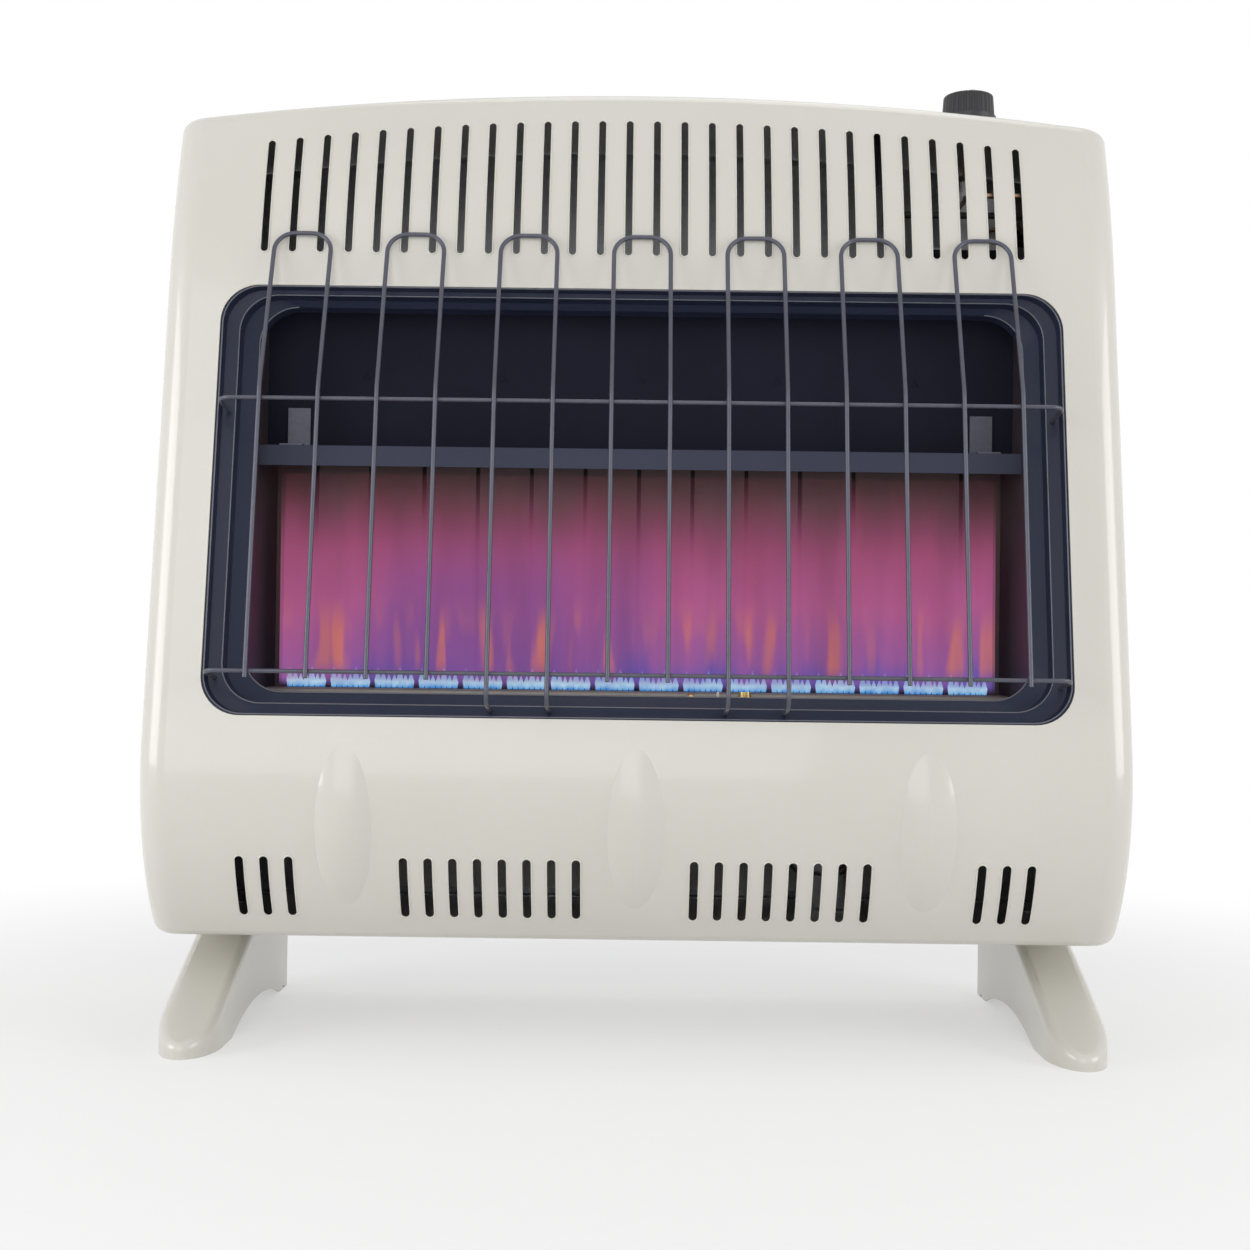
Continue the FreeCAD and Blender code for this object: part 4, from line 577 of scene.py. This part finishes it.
def is_slot_edge(edge):
    """Where the panel's outside, above or below the window, turns into the wall of an air slot."""
    ends = [end.co for end in edge.verts]
    turns = sorted(face.normal.y for face in edge.link_faces)
    beyond = any(end.z > WINDOW_HIGH.z or end.z < WINDOW_LOW.z for end in ends)
    upright = abs(ends[0].x - ends[1].x) < SLOT_HALF_WIDTH
    return beyond and upright and turns[0] < OUTSIDE_LOOK and abs(turns[1]) < WALL_LOOK


def is_step_edge(edge):
    """An outward corner of the frame's steps that shows from the front."""
    faces_front = min(face.normal.y for face in edge.link_faces) < STEP_LOOK
    return faces_front and edge.is_convex and edge.calc_face_angle(0.0) > math.radians(STEP_ANGLE)


def add_bead(name, source, wanted, radius, material):
    """Round bead along the picked edges of a node."""
    points, edges = wire_of(source, wanted)
    bead = add_mesh(name, points, [], edges=edges)
    values = {"Radius": radius, "Sides": BEAD_SIDES, "Material": material}
    grown(bead, *bead_tree(name + "_tree"), values)
    bead.data.shade_smooth()
    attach(bead, ROOT)
    return bead


# Settings

class HeaterFinish(bpy.types.PropertyGroup):
    """Colours of the finishes."""

    cream_dark: FloatVectorProperty(
        name="Cream, dark", description="Darker tone of the casing", subtype="COLOR",
        default=(0.600, 0.582, 0.525))
    cream_light: FloatVectorProperty(
        name="Cream, light", description="Lighter tone of the casing", subtype="COLOR",
        default=(0.670, 0.652, 0.595))
    frame_dark: FloatVectorProperty(
        name="Frame, dark", description="Darker tone of the window frame", subtype="COLOR",
        default=(0.011, 0.015, 0.034))
    frame_light: FloatVectorProperty(
        name="Frame, light", description="Lighter tone of the window frame", subtype="COLOR",
        default=(0.030, 0.036, 0.068))
    wire_dark: FloatVectorProperty(
        name="Wire, dark", description="Darker tone of the guard", subtype="COLOR",
        default=(0.060, 0.062, 0.085))
    wire_light: FloatVectorProperty(
        name="Wire, light", description="Lighter tone of the guard", subtype="COLOR",
        default=(0.105, 0.108, 0.140))
    rim: FloatProperty(
        name="Slot rim", description="Radius of the rolled rim of an air slot", unit="LENGTH", default=0.0006)


class HeaterFlame(bpy.types.PropertyGroup):
    """Sizes of the flames."""

    groups: IntProperty(name="Port groups", description="Groups of ports along the burner", default=16, min=1)
    group_pitch: FloatProperty(
        name="Group pitch", description="Step from group to group", unit="LENGTH", default=0.0334)
    places: IntProperty(name="Jets in a group", description="Small flames on one group", default=7, min=1)
    place_pitch: FloatProperty(
        name="Jet pitch", description="Step from jet to jet", unit="LENGTH", default=0.0042)
    jet_height: FloatProperty(name="Jet height", description="Tallest jet", unit="LENGTH", default=0.018)
    jet_width: FloatProperty(
        name="Jet width", description="Thickest part of a jet", unit="LENGTH", default=0.0050)
    sheet_height: FloatProperty(
        name="Sheet height", description="Height of the glow over the burner", unit="LENGTH", default=0.162)
    sheets: IntProperty(name="Sheets", description="Layers of glow, one behind the other", default=2, min=1)


class HeaterStudio(bpy.types.PropertyGroup):
    """Camera and light."""

    eye: FloatVectorProperty(
        name="Camera", description="Place of the camera", subtype="TRANSLATION",
        default=(-0.0058, -1.3290, 0.2885))
    turn: FloatVectorProperty(
        name="Yaw, pitch, roll", description="Turn of the camera in degrees", default=(-0.16, 0.92, 0.73))
    lens: FloatProperty(name="Lens", description="Focal length in millimetres", default=49.68)
    key: FloatProperty(name="Lamps", description="Power of the left lamp", unit="POWER", default=12.5)
    sky: FloatProperty(name="Sky strength", description="Light from all around", default=0.42)


# Pieces

class HEATER_OT_casing(bpy.types.Operator):
    """Enamels the casing, the feet and the back"""

    bl_idname = "heater.casing"
    bl_label = "Casing"

    def execute(self, context):
        look = context.scene.heater_finish
        cream = enamel("cream_enamel", tuple(look.cream_dark), tuple(look.cream_light), gloss=0.24, coat=0.60)
        finish_nodes(("front_panel", "cabinet_wrap", "top_panel", "left_foot", "right_foot"), cream)
        rims = add_bead("slot_rims", "front_panel", is_slot_edge, look.rim, cream)
        finish_nodes(("rear_panel",), zinc("galvanised"))
        # The shield's pale tone is partly its aluminised colour and partly painted light, as if light came in
        # through an open base
        shield = metal("aluminised_and_lit_sheet", *ALUMINISED_AND_LIT, rough=0.40, grain=EVEN, shine=0.25)
        finish_nodes(("rear_shield",), shield)
        finish_nodes(("panel_screws", "foot_screws", "cabinet_screws"), steel("screw_steel"))
        return {"FINISHED"}


class HEATER_OT_window(bpy.types.Operator):
    """Enamels the window frame and plates the guard"""

    bl_idname = "heater.window"
    bl_label = "Window and guard"

    def execute(self, context):
        look = context.scene.heater_finish
        tones = tuple(look.frame_dark), tuple(look.frame_light)
        dark = enamel("dark_enamel", *tones, gloss=0.26, coat=0.05, shine=0.18)
        finish_nodes(("window_frame",), dark, FRAME_CREASE)
        # The beads round the steps' edges; their lighter tone is a painted highlight along them
        edge_highlight = enamel("frame_edge_highlight_enamel", *EDGE_HIGHLIGHT_TONES, gloss=0.18, coat=0.4)
        steps = add_bead("frame_steps", "window_frame", is_step_edge, look.rim, edge_highlight)
        wire = metal("guard_wire", tuple(look.wire_dark), tuple(look.wire_light), rough=0.24, shine=0.4)
        finish_nodes(("guard_hairpins", "guard_upper_rail", "guard_lower_rail"), wire, WIRE_CREASE)
        return {"FINISHED"}


class HEATER_OT_firebox(bpy.types.Operator):
    """Stains the firebox and presses the dimples of its hood"""

    bl_idname = "heater.firebox"
    bl_label = "Firebox"

    def execute(self, context):
        sides = stained("firebox_steel", *FIREBOX_STEEL, FIREBOX_TINT)
        finish_nodes(("firebox_left_side", "firebox_right_side", "firebox_floor"), sides)
        back = stained("back_plate", *BACK_PLATE, FIREBOX_TINT, BACK_SEAM_PITCH)
        finish_nodes(("firebox_back",), back)
        low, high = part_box("firebox_hood")
        hood = hood_steel("hood_steel", low.z + HOOD_LIP_HEIGHT)
        finish_nodes(("firebox_hood",), hood)
        bracket = metal("bracket_steel", *DARK_BRACKET, rough=0.34, grain=EVEN, shine=0.5)
        finish_nodes(("hood_brackets", "burner_brackets"), bracket)
        face = high.y - DIMPLE_BACK_GAP
        middle = low.z + (high.z - low.z) * DIMPLE_LEVEL_SHARE
        foot, tip = middle - DIMPLE_HALF_HEIGHT, middle - DIMPLE_HALF_HEIGHT * DIMPLE_TIP_SHARE
        points = [(-DIMPLE_HALF_WIDTH, face, foot), (DIMPLE_HALF_WIDTH, face, foot)]
        points += [(0, face, middle + DIMPLE_HALF_HEIGHT), (0, face - DIMPLE_DEPTH, tip)]
        dimples = add_mesh("hood_dimples", points, [(0, 1, 3), (1, 2, 3), (2, 0, 3), (0, 2, 1)])
        values = {
            "Groups": DIMPLES, "Group Pitch": DIMPLE_PITCH, "Places": 1, "Place Pitch": 0.0, "Vary": 0.0,
            "Material": hood,
        }
        repeat_row(dimples, values)
        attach(dimples, ROOT)
        return {"FINISHED"}


class HEATER_OT_burner(bpy.types.Operator):
    """Finishes the burner, its mixing tube and the pilot"""

    bl_idname = "heater.burner"
    bl_label = "Burner and pilot"

    def execute(self, context):
        tube = stained("burner_steel", *BURNER_STEEL, BURNER_TINT)
        finish_nodes(("burner_body", "mixing_tube"), tube)
        finish_nodes(("air_shutter", "injector_bracket", "pilot_bracket"), zinc("bracket_zinc"))
        finish_nodes(("injector", "pilot_burner", "thermocouple"), brass())
        finish_nodes(("spark_electrode",), moulded("white_ceramic", *CERAMIC, rough=0.15))
        return {"FINISHED"}


class HEATER_OT_gas_train(bpy.types.Operator):
    """Finishes the valve, the regulator, the tubes and the leads"""

    bl_idname = "heater.gas_train"
    bl_label = "Gas train"

    def execute(self, context):
        alloy = metal("cast_alloy", *ALLOY, rough=0.32, grain=EVEN)
        finish_nodes(("valve_body", "valve_bonnet", "regulator_body", "regulator_cap"), alloy)
        finish_nodes(("valve_bracket", "regulator_bracket"), zinc("bracket_zinc"))
        finish_nodes(("inlet_fitting", "tube_nuts", "valve_plug", "valve_spindle"), brass())
        tube = metal("drawn_tube", *COPPER, rough=0.24)
        finish_nodes(("supply_tube", "burner_feed_tube", "pilot_tube", "thermocouple_lead"), tube, WIRE_CREASE)
        finish_nodes(("ignition_lead",), moulded("lead_rubber", *RUBBER, rough=0.5), WIRE_CREASE)
        return {"FINISHED"}


class HEATER_OT_controls(bpy.types.Operator):
    """Finishes the knob and the igniter"""

    bl_idname = "heater.controls"
    bl_label = "Controls"

    def execute(self, context):
        black = moulded("black_plastic", *BLACK_PLASTIC, rough=0.30)
        finish_nodes(("control_knob", "igniter_body", "igniter_button"), black)
        finish_nodes(("knob_pointer",), moulded("white_mark", *WHITE_MARK, rough=0.4))
        finish_nodes(("igniter_nut",), steel("nut_steel"))
        return {"FINISHED"}


class HEATER_OT_flames(bpy.types.Operator):
    """Lights the burner"""

    bl_idname = "heater.flames"
    bl_label = "Flames"

    def execute(self, context):
        flame = context.scene.heater_flame
        low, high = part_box("burner_body")
        foot = high.z + FLAME_LIFT
        middle = (low.y + high.y) / 2
        ring = []
        for step in range(JET_SIDES):
            angle = 2 * math.pi * step / JET_SIDES
            ring.append(Vector((math.cos(angle), math.sin(angle), 0)) * (flame.jet_width / 2))
        belly = Vector((0, 0, flame.jet_height * JET_BELLY_SHARE))
        points = [p * JET_FOOT_SHARE for p in ring] + [belly + p for p in ring]
        points.append(Vector((0, 0, flame.jet_height)))
        faces = [tuple(range(JET_SIDES - 1, -1, -1))]
        for step in range(JET_SIDES):
            after = (step + 1) % JET_SIDES
            faces.append((step, after, JET_SIDES + after, JET_SIDES + step))
            faces.append((JET_SIDES + step, JET_SIDES + after, 2 * JET_SIDES))
        jets = add_mesh("flame_jets", points, faces, smooth=True)
        blue = flame_jet("flame_blue", foot, flame.jet_height)
        values = {
            "Groups": flame.groups, "Group Pitch": flame.group_pitch, "Places": flame.places,
            "Place Pitch": flame.place_pitch, "Vary": JET_VARY, "Material": blue,
        }
        repeat_row(jets, values)
        jets.data.transform(Matrix.Translation((0, middle, foot)))
        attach(jets, ROOT)
        half = (high.x - low.x) / 2 - SHEET_END_GAP
        glow = flame_sheet("flame_glow", foot, flame.sheet_height)
        rows = len(SHEET_LEVELS)
        for number in range(flame.sheets):
            shift = (number - (flame.sheets - 1) / 2) * SHEET_STEP
            points, faces = [], []
            for column in range(SHEET_COLUMNS + 1):
                x = -half + 2 * half * column / SHEET_COLUMNS
                sway = SWAY * math.sin(x * SWAY_TURNS + number * SWAY_LAG)
                for share in SHEET_LEVELS:
                    points.append((x, middle + shift + sway * share, foot + flame.sheet_height * share))
            for column in range(SHEET_COLUMNS):
                for level in range(rows - 1):
                    corner = rows * column + level
                    faces.append((corner, corner + rows, corner + rows + 1, corner + 1))
            sheet = add_mesh(f"flame_sheet_{number + 1}", points, faces, glow, True)
            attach(sheet, ROOT)
        return {"FINISHED"}


class HEATER_OT_studio(bpy.types.Operator):
    """Sets the floor, the lights and the camera"""

    bl_idname = "heater.studio"
    bl_label = "Studio"

    def execute(self, context):
        scene = context.scene
        studio = scene.heater_studio
        corners = [(x * FLOOR_HALF, y * FLOOR_HALF, 0) for x, y in ((-1, -1), (1, -1), (1, 1), (-1, 1))]
        floor = add_mesh("floor", corners, [(0, 1, 2, 3)], studio_floor("studio_floor"))
        world = bpy.data.worlds.new("studio")
        world.use_nodes = True
        tree = world.node_tree
        sky = tree.nodes["Background"]
        sky.inputs["Color"].default_value = (1.0, 1.0, 1.0, 1.0)
        aim = tree.nodes.new("ShaderNodeSeparateXYZ")
        tree.links.new(tree.nodes.new("ShaderNodeTexCoord").outputs["Generated"], aim.inputs[0])
        room = (Value(tree, aim.outputs["Z"]).smooth(-0.2, 0.9) * 0.6 + 0.7) * studio.sky
        white = background_rays(tree)
        plug(tree, white + (1.0 - white) * room, sky.inputs["Strength"])
        scene.world = world
        for name, place, size, share in LAMPS:
            lamp = bpy.data.lights.new(name, "AREA")
            lamp.size = size
            lamp.energy = studio.key * share
            item = bpy.data.objects.new(name, lamp)
            item.location = place
            item.rotation_euler = (LAMP_AIM - Vector(place)).to_track_quat("-Z", "Y").to_euler()
            scene.collection.objects.link(item)
        lens = bpy.data.cameras.new("camera")
        lens.sensor_width = SENSOR_WIDTH
        lens.lens = studio.lens
        lens.clip_start = NEAR_CLIP
        yaw, pitch, roll = (math.radians(angle) for angle in studio.turn)
        view = bpy.data.objects.new("camera", lens)
        look = Matrix.Rotation(-yaw, 4, "Z") @ Matrix.Rotation(math.pi / 2 + pitch, 4, "X")
        view.matrix_world = Matrix.Translation(studio.eye) @ look @ Matrix.Rotation(roll, 4, "Z")
        scene.collection.objects.link(view)
        scene.camera = view
        scene.view_settings.view_transform = "Standard"
        return {"FINISHED"}


class HEATER_PT_panel(bpy.types.Panel):
    """Heater tools in the sidebar"""

    bl_idname = "HEATER_PT_panel"
    bl_label = "Gas heater"
    bl_space_type = "VIEW_3D"
    bl_region_type = "UI"
    bl_category = "Heater"

    def draw(self, context):
        for operator in OPERATORS:
            self.layout.operator(operator.bl_idname)
        for group in (context.scene.heater_finish, context.scene.heater_flame, context.scene.heater_studio):
            box = self.layout.box()
            for name in group.__annotations__:
                box.prop(group, name)


OPERATORS = (
    HEATER_OT_casing, HEATER_OT_window, HEATER_OT_firebox, HEATER_OT_burner, HEATER_OT_gas_train,
    HEATER_OT_controls, HEATER_OT_flames, HEATER_OT_studio,
)
SETTINGS = {"heater_finish": HeaterFinish, "heater_flame": HeaterFlame, "heater_studio": HeaterStudio}


def register():
    for item in (*SETTINGS.values(), *OPERATORS, HEATER_PT_panel):
        bpy.utils.register_class(item)
    for name, group in SETTINGS.items():
        setattr(bpy.types.Scene, name, PointerProperty(type=group))


def unregister():
    for name in SETTINGS:
        delattr(bpy.types.Scene, name)
    for item in (HEATER_PT_panel, *reversed(OPERATORS), *SETTINGS.values()):
        bpy.utils.unregister_class(item)


def main():
    register()
    bpy.ops.heater.casing()
    bpy.ops.heater.window()
    bpy.ops.heater.firebox()
    bpy.ops.heater.burner()
    bpy.ops.heater.gas_train()
    bpy.ops.heater.controls()
    bpy.ops.heater.flames()
    bpy.ops.heater.studio()


if __name__ == "__main__":
    main()
